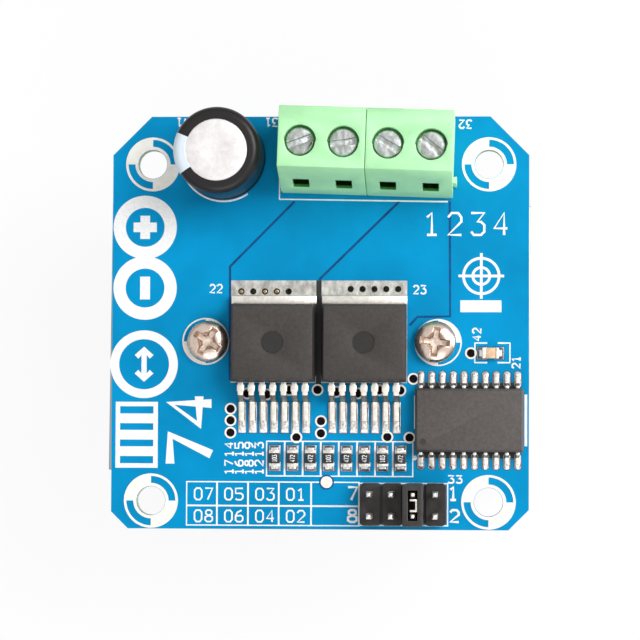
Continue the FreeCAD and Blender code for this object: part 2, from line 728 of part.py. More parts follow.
def make_buffer_leads():
    reach = (BUFFER_SPAN - BUFFER_WIDTH) / 2
    middle = SOLDER_SEAT + BUFFER_HEIGHT / 2
    height = middle - SOLDER_SEAT / 2
    leads = []
    for x in evenly(BUFFER_LEAD_COUNT, LEAD_PITCH, BUFFER_X):
        for outward in (-1, 1):
            face = BUFFER_Y + outward * BUFFER_WIDTH / 2
            leads.append(gull_lead(x, face, reach, height, BUFFER_LEAD_SHOULDER, BUFFER_LEAD_DROP,
                                   BUFFER_LEAD_THICKNESS, BUFFER_LEAD_WIDTH, outward))
    return Part.makeCompound(leads)


# Chip components

def chip_body(x, y, thickness, along_x):
    """The ceramic between the two end caps."""
    middle = CHIP_LENGTH - 2 * CHIP_END
    base = BOARD_TOP + SOLDER_SEAT
    length, width = (middle, CHIP_WIDTH) if along_x else (CHIP_WIDTH, middle)
    return centred_box(x, y, length, width, base, base + thickness)


def chip_ends(x, y, thickness, along_x):
    base = BOARD_TOP + SOLDER_SEAT
    height = thickness + CHIP_END_LAP
    width = CHIP_WIDTH + 2 * CHIP_END_LAP
    ends = []
    for shift in evenly(2, CHIP_LENGTH - CHIP_END):
        if along_x:
            ends.append(centred_box(x + shift, y, CHIP_END, width, base, base + height))
        else:
            ends.append(centred_box(x, y + shift, width, CHIP_END, base, base + height))
    return ends


def resistor_places():
    return evenly(RESISTOR_COUNT, RESISTOR_PITCH, DRIVERS_CENTRE_X + RESISTOR_ROW_OFFSET)


# Pin header

def make_header_housing():
    """One eight-sided block for each column, joined, with a square hole for each pin."""
    half = HEADER_PITCH / 2
    depth = HEADER_DEPTH / 2
    groove = HEADER_GROOVE
    modules = []
    for x in evenly(HEADER_COLUMN_COUNT, HEADER_PITCH, HEADER_X):
        corners = [
            (x - half, HEADER_Y - depth + groove), (x - half + groove, HEADER_Y - depth),
            (x + half - groove, HEADER_Y - depth), (x + half, HEADER_Y - depth + groove),
            (x + half, HEADER_Y + depth - groove), (x + half - groove, HEADER_Y + depth),
            (x - half + groove, HEADER_Y + depth), (x - half, HEADER_Y + depth - groove),
        ]
        modules.append(plate(corners, BOARD_TOP, BOARD_TOP + HEADER_HEIGHT))
    housing = modules[0].fuse(modules[1:]).removeSplitter()
    holes = [centred_box(x, y, PIN_SIZE, PIN_SIZE, 0, BOARD_TOP + HEADER_HEIGHT + OVERCUT)
             for x, y in header_places()]
    return cut_all(housing, holes)


def square_rod(x, y, size, z0, z1):
    return centred_box(x, y, size, size, z0, z1)


def header_pin(x, y):
    """Square pin, tapered at its upper end."""
    top = BOARD_TOP + HEADER_HEIGHT + PIN_ABOVE
    shank = square_rod(x, y, PIN_SIZE, -LEAD_TAIL, top - PIN_TIP)
    half = PIN_SIZE / 2
    small = PIN_TIP_SIZE / 2
    tip = tapered(
        rectangle(x - half, x + half, y - half, y + half, top - PIN_TIP),
        rectangle(x - small, x + small, y - small, y + small, top),
    )
    return shank.fuse(tip).removeSplitter()


def jumper_x():
    return evenly(HEADER_COLUMN_COUNT, HEADER_PITCH, HEADER_X)[JUMPER_SKIP_COUNT]


def make_jumper_housing():
    """Open-topped cap over one column of pins."""
    x = jumper_x()
    foot = BOARD_TOP + HEADER_HEIGHT + JUMPER_PLAY
    cap = centred_box(x, HEADER_Y, JUMPER_WIDTH, JUMPER_DEPTH, foot, foot + JUMPER_HEIGHT)
    uprights = [edge for edge in cap.Edges if edge.BoundBox.ZLength > JUMPER_HEIGHT / 2]
    cap = cap.makeFillet(JUMPER_CORNER, uprights)
    cavity = box(x - JUMPER_CAVITY_LEFT, x + JUMPER_CAVITY_RIGHT,
                 HEADER_Y - JUMPER_CAVITY_DEPTH / 2, HEADER_Y + JUMPER_CAVITY_DEPTH / 2,
                 foot - OVERCUT, foot + JUMPER_HEIGHT + OVERCUT)
    return cap.cut(cavity)


def make_jumper_clip():
    """Folded spring strip against the cavity wall, whose arms press on the two pins."""
    x = jumper_x()
    foot = BOARD_TOP + HEADER_HEIGHT + JUMPER_PLAY
    low = foot + CLIP_INSET
    high = foot + JUMPER_HEIGHT - CLIP_INSET
    wall = x + JUMPER_CAVITY_RIGHT
    span = CLIP_HALF_SPAN
    spine = box(wall - CLIP_THICKNESS, wall, HEADER_Y - span, HEADER_Y + span, low, high)
    pieces = []
    pin_face = HEADER_PITCH / 2 - PIN_SIZE / 2 - CLIP_CONTACT_FIT
    middle = (low + high) / 2
    for side in (-1, 1):
        outer = HEADER_Y + side * span
        inner = HEADER_Y + side * (span - CLIP_THICKNESS)
        touch = HEADER_Y + side * pin_face
        arm_start = wall - CLIP_THICKNESS - CLIP_ARM
        pieces.append(box(arm_start, wall, min(outer, inner), max(outer, inner), low, high))
        bump = side_profile([
            (outer, middle - CLIP_CONTACT_HEIGHT / 2),
            (touch, middle),
            (outer, middle + CLIP_CONTACT_HEIGHT / 2),
        ], arm_start, wall - CLIP_THICKNESS)
        pieces.append(bump)
    return spine.fuse(pieces).removeSplitter()


def make_all():
    save("pcb", make_board())
    save("heatsink", make_heatsink())
    save("thermal_pad", make_thermal_pad())
    screws = [make_heatsink_screw(x, y, angle)
              for (x, y), angle in zip(heatsink_screw_places(), CROSS_ANGLES)]
    save("heatsink_screws", Part.makeCompound(screws))

    save("capacitor_can", make_can())
    save("capacitor_sleeve", make_sleeve())
    save("capacitor_bung", make_bung())
    leads = [capacitor_lead(x, y) for x, y in capacitor_lead_places()]
    save("capacitor_leads", Part.makeCompound(leads))

    for block, side in enumerate(("left", "right")):
        save("terminal_housing_" + side, make_housing(block))
    for number, (offset, angle) in enumerate(zip(pole_offsets(), SLOT_ANGLES), start=1):
        save("terminal_screw_%d" % number, make_clamp_screw(offset, angle))
        save("terminal_cage_%d" % number, make_cage(offset))
        save("terminal_contact_%d" % number, make_contact(offset))

    for x, side in zip(DRIVER_X, ("left", "right")):
        save("driver_body_" + side, make_driver_body(x))
        save("driver_tab_" + side, make_driver_tab(x))
        save("driver_leads_" + side, make_driver_leads(x))

    save("buffer_body", make_buffer_body())
    save("buffer_leads", make_buffer_leads())

    resistor_ends = []
    for number, x in enumerate(resistor_places(), start=1):
        save("resistor_%d" % number, chip_body(x, RESISTOR_Y, RESISTOR_THICKNESS, False))
        resistor_ends += chip_ends(x, RESISTOR_Y, RESISTOR_THICKNESS, False)
    save("resistor_ends", Part.makeCompound(resistor_ends))
    save("ceramic_capacitor", chip_body(CERAMIC_X, CERAMIC_Y, CERAMIC_THICKNESS, True))
    ceramic_ends = chip_ends(CERAMIC_X, CERAMIC_Y, CERAMIC_THICKNESS, True)
    save("ceramic_capacitor_ends", Part.makeCompound(ceramic_ends))

    save("header_housing", make_header_housing())
    save("header_pins", Part.makeCompound([header_pin(x, y) for x, y in header_places()]))
    save("jumper_housing", make_jumper_housing())
    save("jumper_clip", make_jumper_clip())


make_all()
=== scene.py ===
import math
from collections import namedtuple

import bpy
from bpy.props import FloatProperty, FloatVectorProperty, IntProperty, PointerProperty
from mathutils import Euler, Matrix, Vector


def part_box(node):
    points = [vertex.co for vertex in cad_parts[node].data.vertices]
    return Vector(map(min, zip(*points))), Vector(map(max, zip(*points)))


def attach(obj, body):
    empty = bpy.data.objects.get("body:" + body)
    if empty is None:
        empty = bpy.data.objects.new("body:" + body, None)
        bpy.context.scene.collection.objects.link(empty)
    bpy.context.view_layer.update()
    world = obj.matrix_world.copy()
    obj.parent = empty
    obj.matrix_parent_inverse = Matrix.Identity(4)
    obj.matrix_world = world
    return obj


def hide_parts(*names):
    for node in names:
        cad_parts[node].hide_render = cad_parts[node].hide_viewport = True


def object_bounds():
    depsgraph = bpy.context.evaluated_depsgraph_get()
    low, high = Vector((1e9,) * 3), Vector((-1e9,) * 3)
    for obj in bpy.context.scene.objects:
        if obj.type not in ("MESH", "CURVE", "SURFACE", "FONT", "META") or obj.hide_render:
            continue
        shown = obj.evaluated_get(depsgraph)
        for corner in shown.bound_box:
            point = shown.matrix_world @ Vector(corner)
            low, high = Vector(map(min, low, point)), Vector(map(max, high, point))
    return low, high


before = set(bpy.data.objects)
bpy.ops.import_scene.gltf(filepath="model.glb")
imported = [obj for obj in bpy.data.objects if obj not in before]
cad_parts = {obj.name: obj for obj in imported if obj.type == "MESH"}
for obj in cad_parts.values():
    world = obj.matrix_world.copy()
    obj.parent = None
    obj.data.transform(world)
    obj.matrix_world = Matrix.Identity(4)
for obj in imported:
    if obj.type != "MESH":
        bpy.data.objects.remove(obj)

bl_info = {
    "name": "Motor driver module",
    "version": (1, 0, 0),
    "blender": (4, 5, 0),
    "location": "3D View > Sidebar > Driver module",
    "description": "Dresses the packed motor driver module piece by piece",
    "category": "Object",
}

MM = 0.001
CAD_LOW, CAD_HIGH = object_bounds()
FLOOR_HEIGHT = CAD_LOW.z
BOARD_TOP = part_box("pcb")[1].z / MM

# Layers on the board start a little inside it, so that no gap shows under them
SUNK = 0.02
LAYER_BASE = BOARD_TOP - SUNK

# Places on the board, in millimetres from the centre of the four mounting holes
MOUNTING_HOLES = [(-20.0, 20.0), (20.0, 20.0), (-20.0, -20.0), (20.0, -20.0)]
# Each heatsink screw's place and the turn of its recess in degrees
HEATSINK_SCREWS = [(-13.30, -1.10, 57.0), (13.70, -1.10, -7.0)]
PAN_RADIUS = 2.45
# The power that shapes the dome: 1 would give a plain ellipse, and less gives a fuller pan
PAN_SHAPE = 0.87
CAPACITOR = (-11.55, 20.75)
DRIVERS = (-5.40, 5.33)
TAB_VIAS = [(-6.55, 4.87), (6.45, 5.17)]
TAB_VIA_PITCH = 1.41
TAB_VIA_RADIUS = 0.38
SIGNAL_VIAS = [
    (-10.57, -9.08), (-10.57, -10.45), (-10.57, -11.90), (-2.74, -12.43), (-0.25, -6.80), (0.17, -10.50),
    (0.17, -11.95), (8.04, -12.34), (10.66, -12.42), (11.10, -5.46), (17.90, -2.40), (-8.61, -7.25),
    (-6.27, -7.36), (-3.61, -6.83), (1.95, -7.03), (4.53, -7.19), (7.06, -6.81), (9.56, -6.84),
]
LEAD_PITCH = 1.27
DRIVER_PAD_ROW = -10.09
DRIVER_SOLDER_ROW = -10.15
BUFFER = (17.72, -10.35)
BUFFER_PAD_ROWS = (-5.50, -15.20)
PIN_ONE_INSET = (0.95, 1.20)
RESISTORS_FIRST = (-5.30, -14.90)
RESISTOR_PITCH = 2.13
RESISTOR_PAD_ROWS = (-13.92, -15.88)
CERAMIC = (20.21, -2.40)
CERAMIC_PAD = 0.98
MASK_CLEARANCE = 0.08
TEST_LAND = (0.86, -17.72)
HEADER = (9.96, -20.28)
HEADER_PITCH = 2.54
TERMINAL_ROW = (5.75, 21.45)
TERMINAL_TURN = math.radians(-1.85)
POLES = (-7.575, -2.575, 2.575, 7.575)
CONTACT_LEG = -2.70
# The wire windows: half their width, their floor and top over the board, and how deep they lie
WINDOW_HALF = 0.95
WINDOW_FLOOR = 0.8
WINDOW_TOP = 7.4
WINDOW_BACK = -2.9
WINDOW_FRONT = -5.0
TOLERANCE = 0.01

# The camera that was solved from the photograph, almost over the board: millimetres, and radians
CAMERA_PLACE = (18.93, -13.03, 366.29)
CAMERA_TURN = (-0.03979, -0.05181, -0.00224)
# Most of what the camera sees of the floor is plain white, and the rest is the lit floor with the shadow
FLOOR_WHITE_SHARE = 0.90

# Strokes of the printed numbers, on a cell 0.6 wide and 1 high
DIGITS = {
    "0": [[(0, .2), (0, .8), (.15, 1), (.45, 1), (.6, .8), (.6, .2), (.45, 0), (.15, 0), (0, .2)]],
    "1": [[(.08, .8), (.3, 1), (.3, 0)], [(.08, 0), (.52, 0)]],
    "2": [[(0, .8), (.15, 1), (.45, 1), (.6, .8), (.6, .6), (0, 0), (.6, 0)]],
    "3": [[(0, 1), (.6, 1), (.28, .6), (.45, .6), (.6, .45), (.6, .15), (.45, 0), (.12, 0), (0, .15)]],
    "4": [[(.45, 0), (.45, 1), (0, .3), (.6, .3)]],
    "5": [[(.6, 1), (0, 1), (0, .56), (.45, .56), (.6, .42), (.6, .15), (.45, 0), (.1, 0), (0, .1)]],
    "6": [[(.5, 1), (.15, .82), (0, .5), (0, .15), (.15, 0), (.45, 0), (.6, .15), (.6, .42), (.45, .55),
           (0, .5)]],
    "7": [[(0, 1), (.6, 1), (.2, 0)]],
    "8": [[(.3, .54), (.06, .68), (.06, .9), (.18, 1), (.42, 1), (.54, .9), (.54, .68), (.3, .54), (0, .4),
           (0, .14), (.15, 0), (.45, 0), (.6, .14), (.6, .4), (.3, .54)]],
    "9": [[(.1, 0), (.45, .18), (.6, .5), (.6, .85), (.45, 1), (.15, 1), (0, .85), (0, .6), (.15, .45),
           (.6, .5)]],
}


def linear(hex_code):
    """An sRGB colour such as 8fa3b0 as linear red, green and blue, and full alpha."""
    shares = [int(hex_code[place:place + 2], 16) / 255 for place in (0, 2, 4)]
    return [c / 12.92 if c <= 0.04045 else ((c + 0.055) / 1.055) ** 2.4 for c in shares] + [1.0]


def colour_setting(name, description, hex_code):
    """A colour that a user can change."""
    return FloatVectorProperty(name=name, description=description, subtype="COLOR", size=4, min=0, max=1,
                               default=linear(hex_code))


def length_setting(name, description, least, default):
    """A length in metres that a user can change."""
    return FloatProperty(name=name, description=description, subtype="DISTANCE", unit="LENGTH", min=least,
                         default=default)


def power_setting(name, description, default):
    """A lamp's power in watts that a user can change."""
    return FloatProperty(name=name, description=description, subtype="POWER", unit="POWER", min=0,
                         default=default)


class BoardSettings(bpy.types.PropertyGroup):
    mask_colour: colour_setting("Solder mask", "Colour of the cured solder mask over copper", "038dc3")
    gap_colour: colour_setting("Mask over bare laminate", "Colour of the mask where it has no copper below",
                               "0b4a80")
    ink_colour: colour_setting("Marking ink", "Colour of the printed marks", "fbfcfc")
    ink_thickness: length_setting("Ink thickness", "Height of the printed marks", 5e-6, 2.5e-5)
    land_thickness: length_setting("Land thickness", "Height of the tinned copper", 1e-5, 5e-5)


class CoolingSettings(bpy.types.PropertyGroup):
    metal_colour: colour_setting("Heatsink", "Colour of the extruded aluminium", "aeb2b4")
    edge_radius: length_setting("Edge radius", "Rounding along the heatsink's edges", 1e-5, 12e-5)
    screw_colour: colour_setting("Screws", "Colour of the nickel plating", "dcc9bb")


class CapacitorSettings(bpy.types.PropertyGroup):
    sleeve_colour: colour_setting("Sleeve", "Colour of the shrunk sleeve", "1d1a1b")
    stripe_colour: colour_setting("Stripe", "Colour of the stripe that marks the negative lead", "dbe7f0")
    lathe_steps: IntProperty(name="Lathe steps", description="Flats round the spun can and sleeve", min=24,
                             default=96)


class TerminalSettings(bpy.types.PropertyGroup):
    housing_colour: colour_setting("Housing", "Colour of the moulded terminal blocks", "b2efb4")
    edge_radius: length_setting("Edge radius", "Rounding left by the mould", 1e-5, 8e-5)
    clamp_colour: colour_setting("Clamp screws", "Colour of the zinc-plated clamp screws", "adb0aa")


class PackageSettings(bpy.types.PropertyGroup):
    mould_colour: colour_setting("Moulding compound", "Colour of the epoxy packages", "3f3b39")
    buffer_colour: colour_setting("Buffer package", "Colour of the buffer's duller epoxy", "534e4b")
    tin_colour: colour_setting("Tin", "Colour of the tinned leads and tabs", "efeae1")
    edge_radius: length_setting("Edge radius", "Rounding of the packages' edges", 1e-5, 8e-5)


class HeaderSettings(bpy.types.PropertyGroup):
    plastic_colour: colour_setting("Plastic", "Colour of the header's moulded body", "282524")
    jumper_colour: colour_setting("Jumper", "Colour of the jumper's shell", "343130")


class StageSettings(bpy.types.PropertyGroup):
    floor_size: length_setting("Floor size", "Width of the pale floor", 0.3, 4.0)
    key_power: power_setting("Key lamp", "Power of the large soft lamp, which stands to the right", 4.4)
    fill_power: power_setting("Fill lamp", "Power of the soft lamp from the header's edge", 1.6)
    side_power: power_setting("Side lamp", "Power of the low lamp on the right, which edges glint from", 1.6)
    sky_strength: FloatProperty(name="Sky", description="Strength of the white surroundings", min=0,
                                default=0.48)
    lens: FloatProperty(name="Lens", description="Focal length on a 36 mm sensor", min=1, default=173.3)


# Modelling helpers


def deselect():
    """Leaves edit mode and selects nothing."""
    if bpy.context.object and bpy.context.object.mode != "OBJECT":
        bpy.ops.object.mode_set(mode="OBJECT")
    bpy.ops.object.select_all(action="DESELECT")


def choose(*pieces):
    """Selects these pieces alone, the first one active."""
    deselect()
    for piece in pieces:
        piece.select_set(True)
    bpy.context.view_layer.objects.active = pieces[0]


def edit(piece, faces=None):
    """Enters edit mode with all faces chosen, or with those that pass the test of centre and normal."""
    choose(piece)
    bpy.ops.object.mode_set(mode="EDIT")
    bpy.ops.mesh.select_mode(type="FACE")
    bpy.ops.mesh.select_all(action="SELECT" if faces is None else "DESELECT")
    if faces is not None:
        bpy.ops.object.mode_set(mode="OBJECT")
        for face in piece.data.polygons:
            face.select = faces(piece.matrix_world @ face.center / MM, face.normal)
        bpy.ops.object.mode_set(mode="EDIT")


def settle(piece):
    """Puts a piece's place, turn and size into its mesh, so that its object sits at the origin."""
    choose(piece)
    bpy.ops.object.transform_apply(location=True, rotation=True, scale=True)


def joined(pieces):
    """Joins pieces into the first of them, with its object at the origin."""
    for piece in pieces:
        settle(piece)
    choose(*pieces)
    if len(pieces) > 1:
        bpy.ops.object.join()
    return pieces[0]


def copied(piece, moves):
    """Copies a modelled piece by each move of x and y in millimetres, and joins the copies to it."""
    settle(piece)
    copies = [piece]
    for x, y in moves:
        choose(piece)
        bpy.ops.object.duplicate(linked=False)
        bpy.ops.transform.translate(value=(x * MM, y * MM, 0))
        copies.append(bpy.context.object)
    return joined(copies)


def repeated(piece, places):
    """Copies a piece modelled at the first of the places to all the others."""
    return copied(piece, [(x - places[0][0], y - places[0][1]) for x, y in places[1:]])


def resize_about(x, y, wide, deep):
    """Scales what is chosen in plan, about an upright axis through a point in millimetres."""
    bpy.ops.transform.resize(value=(wide, deep, 1), center_override=(x * MM, y * MM, 0))


def draw_up(height):
    """Draws the chosen faces up by millimetres."""
    bpy.ops.mesh.extrude_region_move(TRANSFORM_OT_translate={"value": (0, 0, height * MM)})


def face_outward():
    """Faces all normals outward and leaves edit mode."""
    bpy.ops.mesh.select_all(action="SELECT")
    bpy.ops.mesh.normals_make_consistent(inside=False)
    bpy.ops.object.mode_set(mode="OBJECT")


def turned_about(piece, degrees, centre):
    """Turns a piece about an upright axis through a point in millimetres."""
    choose(piece)
    bpy.ops.transform.rotate(value=-math.radians(degrees), orient_axis="Z",
                             center_override=(centre[0] * MM, centre[1] * MM, 0))
    settle(piece)


def round_edges(piece, radius, angle):
    """Rounds each edge that is sharper than the angle, as a mould or a press leaves it."""
    choose(piece)
    bevel = piece.modifiers.new("edges", "BEVEL")
    bevel.width = radius
    bevel.segments = 2
    bevel.limit_method = "ANGLE"
    bevel.angle_limit = math.radians(angle)
    bevel.use_clamp_overlap = False
    bpy.ops.object.modifier_apply(modifier=bevel.name)


def cut(piece, cutter):
    """Takes the cutter's shape out of a piece."""
    choose(piece)
    boolean = piece.modifiers.new("cut", "BOOLEAN")
    boolean.operation = "DIFFERENCE"
    boolean.solver = "EXACT"
    boolean.object = cutter
    bpy.ops.object.modifier_apply(modifier=boolean.name)
    bpy.data.objects.remove(cutter)


def done(piece, name, slot, *finishes, body="module", smooth=30.0):
    """Names a piece, gives it its materials and lets it ride on its body."""
    settle(piece)
    bpy.ops.object.shade_smooth_by_angle(angle=math.radians(smooth))
    piece.name = name
    piece.data.name = name
    piece.data.materials.clear()
    for maker in finishes:
        piece.data.materials.append(finish(maker))
    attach(piece, body)
    return piece


def second_finish(piece, faces):
    """Gives the faces that pass the test the second of the piece's finishes."""
    edit(piece, faces)
    piece.active_material_index = 1
    bpy.ops.object.material_slot_assign()
    bpy.ops.object.mode_set(mode="OBJECT")


def in_window(centre, normal):
    """Whether a face of a terminal block lies in a wire window or in the pocket behind it."""
    x, y = centre.x - TERMINAL_ROW[0], centre.y - TERMINAL_ROW[1]
    across = x * math.cos(TERMINAL_TURN) + y * math.sin(TERMINAL_TURN)
    back = y * math.cos(TERMINAL_TURN) - x * math.sin(TERMINAL_TURN)
    beside = min(abs(across - pole) for pole in POLES) < WINDOW_HALF + TOLERANCE
    level = WINDOW_FLOOR < centre.z - BOARD_TOP < WINDOW_TOP + TOLERANCE
    # The pocket's walls and floor are square to the board, unlike the slopes above them
    square = abs(normal.z) < 0.1 or abs(normal.z) > 0.9
    return beside and level and square and WINDOW_FRONT < back < WINDOW_BACK


def is_top(centre, normal):
    """Whether a face looks up."""
    return normal.z > 0.9


def is_underside(centre, normal):
    """Whether a face looks down."""
    return normal.z < -0.9


def is_slope(centre, normal):
    """Whether a face of a lead is a bend or a side, and not its flat top."""
    return normal.z < 0.85


def softened(node, radius, angle=35.0):
    """Copies a CAD node, closes its loose triangles and rounds the edges."""
    piece = bpy.data.objects.new(node + "_soft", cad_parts[node].data.copy())
    bpy.context.scene.collection.objects.link(piece)
    settle(piece)
    edit(piece)
    bpy.ops.mesh.remove_doubles(threshold=1e-6)
    bpy.ops.mesh.dissolve_limited(angle_limit=math.radians(0.5))
    bpy.ops.object.mode_set(mode="OBJECT")
    round_edges(piece, radius, angle)
    return piece


def soft_copy(node, name, slot, radius, *finishes, body="module", angle=35.0, second=None):
    """Puts a softened copy of a CAD node in its place, with some faces in the second finish."""
    piece = done(softened(node, radius, angle), name, slot, *finishes, body=body)
    if second:
        second_finish(piece, second)
    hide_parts(node)


def plate(centre, size, base, height, edge=0.0, corner=0.0):
    """A flat plate in millimetres: a plane with its corners rounded, drawn up, and its rims rounded."""
    deselect()
    bpy.ops.mesh.primitive_plane_add(size=MM, location=(centre[0] * MM, centre[1] * MM, base * MM))
    piece = bpy.context.object
    piece.scale = (size[0], size[1], 1)
    settle(piece)
    edit(piece)
    if corner:
        bpy.ops.mesh.bevel(offset=corner * MM, segments=5, affect="VERTICES", clamp_overlap=True)
        bpy.ops.mesh.select_all(action="SELECT")
    draw_up(height)
    face_outward()
    if edge:
        round_edges(piece, edge * MM, 60)
    return piece


def block(x, y, z, size):
    """A box in millimetres about its middle."""
    deselect()
    bpy.ops.mesh.primitive_cube_add(size=MM, location=(x * MM, y * MM, z * MM))
    piece = bpy.context.object
    piece.scale = size
    settle(piece)
    return piece


def upright_rod(x, y, z, radius, depth, sides):
    """A rod in millimetres about its middle, with flat sides."""
    deselect()
    bpy.ops.mesh.primitive_cylinder_add(vertices=sides, radius=radius * MM, depth=depth * MM,
                                        location=(x * MM, y * MM, z * MM))
    return bpy.context.object


def raised_ring(centre, outer, inner, base, height, steps):
    """A flat ring or, with no inner radius, a disc: a circle inset, its middle taken out, and drawn up."""
    deselect()
    bpy.ops.mesh.primitive_circle_add(vertices=steps, radius=outer * MM, fill_type="NGON",
                                      location=(centre[0] * MM, centre[1] * MM, base * MM))
    piece = bpy.context.object
    edit(piece)
    bpy.ops.mesh.inset(thickness=(outer - (inner or outer * 0.6)) * MM)
    if inner:
        bpy.ops.mesh.delete(type="FACE")
    bpy.ops.mesh.select_all(action="SELECT")
    draw_up(height)
    face_outward()
    return piece


def lathed(centre, profile, steps, share=1.0, start=0.0):
    """Spins a profile of (radius, height) points about an upright axis, as a lathe would."""
    deselect()
    x, y = centre
    turn = math.radians(start)
    along = (math.cos(turn), math.sin(turn))
    radius, height = profile[0]
    bpy.ops.mesh.primitive_plane_add(
        size=MM, location=((x + radius * along[0]) * MM, (y + radius * along[1]) * MM, height * MM))
    piece = bpy.context.object
    bpy.ops.object.mode_set(mode="EDIT")
    bpy.ops.mesh.select_mode(type="VERT")
    bpy.ops.mesh.select_all(action="SELECT")
    bpy.ops.mesh.merge(type="CENTER")
    for (r1, z1), (r2, z2) in zip(profile, profile[1:]):
        step = ((r2 - r1) * along[0] * MM, (r2 - r1) * along[1] * MM, (z2 - z1) * MM)
        bpy.ops.mesh.extrude_region_move(TRANSFORM_OT_translate={"value": step})
    bpy.ops.mesh.select_all(action="SELECT")
    bpy.ops.mesh.spin(steps=steps, angle=2 * math.pi * share, center=(x * MM, y * MM, 0), axis=(0, 0, 1))
    bpy.ops.mesh.select_all(action="SELECT")
    bpy.ops.mesh.remove_doubles(threshold=2e-7)
    if share < 1:
        bpy.ops.mesh.fill_holes(sides=0)
    face_outward()
    return piece


def quartered_ring(centre, radii, base, rise, starts):
    """A land of two thin rims with two opposite quarters filled, each running clockwise from its start."""
    inner, inner_rim, outer_rim, outer = radii
    outer_ring = raised_ring(centre, outer, outer_rim, base, rise, 64)
    inner_ring = raised_ring(centre, inner_rim, inner, base, rise, 64)
    # The quarters reach into both rims and lie a trace lower, so that their tops share no plane
    low, high = inner_rim - 0.05, outer_rim + 0.05
    top = base + rise - 0.002
    section = [(low, base), (high, base), (high, top), (low, top), (low, base)]
    return joined([outer_ring, inner_ring] + [lathed(centre, section, 20, 0.25, start) for start in starts])


def arc(centre, radius, start, end, steps):
    """Points of an arc in millimetres, with its angles in degrees."""
    angles = [math.radians(start + (end - start) * step / steps) for step in range(steps + 1)]
    return [(centre[0] + radius * math.cos(a), centre[1] + radius * math.sin(a)) for a in angles]


def box_line(left, low, right, high):
    """The four sides of a printed box."""
    return [(left, low), (right, low), (right, high), (left, high), (left, low)]


def numbers(text, left, low, height, turn=0.0, wide=1.0):
    """Strokes of plain numbers whose first one stands at a corner, turned about that corner by degrees."""
    angle = math.radians(turn)
    strokes = []
    for place, digit in enumerate(text):
        for stroke in DIGITS[digit]:
            points = []
            for u, v in stroke:
                across, up = (u + 0.9 * place) * height * wide, v * height
                points.append((left + across * math.cos(angle) - up * math.sin(angle),
                               low + across * math.sin(angle) + up * math.cos(angle)))
            strokes.append(points)
    return strokes


def line_work(strokes, width, level, thickness):
    """Draws strokes as curves of one width, turns them into a mesh and presses it flat on a level."""
    deselect()
    curve = bpy.data.curves.new("strokes", "CURVE")
    curve.dimensions = "3D"
    curve.bevel_depth = width / 2 * MM
    curve.bevel_resolution = 0
    curve.use_fill_caps = True
    for stroke in strokes:
        closed = len(stroke) > 2 and math.dist(stroke[0], stroke[-1]) < 1e-6
        points = stroke[:-1] if closed else stroke
        spline = curve.splines.new("POLY")
        spline.points.add(len(points) - 1)
        for point, (x, y) in zip(spline.points, points):
            point.co = (x * MM, y * MM, 0, 1)
        spline.use_cyclic_u = closed
    piece = bpy.data.objects.new("strokes", curve)
    bpy.context.scene.collection.objects.link(piece)
    choose(piece)
    bpy.ops.object.convert(target="MESH")
    piece = bpy.context.object
    piece.scale = (1, 1, thickness / width)
    piece.location = (0, 0, level * MM)
    settle(piece)
    return piece


# Material helpers

Surface = namedtuple("Surface", ("material", "shader", "place"))


def add_node(material, kind, settings=None, links=None):
    """Adds one shader node, sets its inputs and properties, and links its inputs to other nodes' outputs."""
    node = material.node_tree.nodes.new(kind)
    for name, value in (settings or {}).items():
        if isinstance(name, int) or name in node.inputs:
            node.inputs[name].default_value = value
        else:
            setattr(node, name, value)
    for name, source in (links or {}).items():
        material.node_tree.links.new(source, node.inputs[name])
    return node


def new_finish(name, colour, metallic, roughness, **more):
    """Starts a finish: its shader joined to the output, and the place on the piece."""
    material = bpy.data.materials.new(name)
    material.use_nodes = True
    material.node_tree.nodes.clear()
    settings = {"Base Color": colour, "Metallic": metallic, "Roughness": roughness}
    settings.update({key.replace("_", " "): value for key, value in more.items()})
    shader = add_node(material, "ShaderNodeBsdfPrincipled", settings)
    add_node(material, "ShaderNodeOutputMaterial", {}, {"Surface": shader.outputs["BSDF"]})
    place = add_node(material, "ShaderNodeTexCoord")
    return Surface(material, shader, place.outputs["Object"])


def tint(colour, share):
    """A colour made lighter or darker by a share."""
    return [min(1.0, c * share) for c in colour[:3]] + [1.0]


def patches(surface, size, stretch, **more):
    """Noise whose patches have a size in millimetres, stretched along the axes."""
    mapping = add_node(surface.material, "ShaderNodeMapping", {"Scale": stretch}, {"Vector": surface.place})
    return add_node(surface.material, "ShaderNodeTexNoise", {"Scale": 1 / (size * MM), **more},
                    {"Vector": mapping.outputs[0]})


def colour_stops(ramp, low, dark, high, light):
    """Sets the two ends of a colour ramp."""
    for stop, place, colour in zip(ramp.color_ramp.elements, (low, high), (dark, light)):
        stop.position = place
        stop.color = colour


def cloudy(surface, size, dark, light, detail=3.0, stretch=(1, 1, 1)):
    """Varies the colour between two tones in patches of a size in millimetres."""
    noise = patches(surface, size, stretch, Detail=detail, Roughness=0.6)
    ramp = add_node(surface.material, "ShaderNodeValToRGB", {}, {"Fac": noise.outputs["Fac"]})
    colour_stops(ramp, 0.35, dark, 0.65, light)
    surface.material.node_tree.links.new(ramp.outputs["Color"], surface.shader.inputs["Base Color"])
    return ramp


def grained(surface, size, height, stretch=(1, 1, 1), strength=1.0, detail=2.0):
    """Gives the surface a relief whose grain and height are in millimetres."""
    noise = patches(surface, size, stretch, Detail=detail)
    bump = add_node(surface.material, "ShaderNodeBump", {"Strength": strength, "Distance": height * MM},
                    {"Height": noise.outputs["Fac"]})
    surface.material.node_tree.links.new(bump.outputs["Normal"], surface.shader.inputs["Normal"])


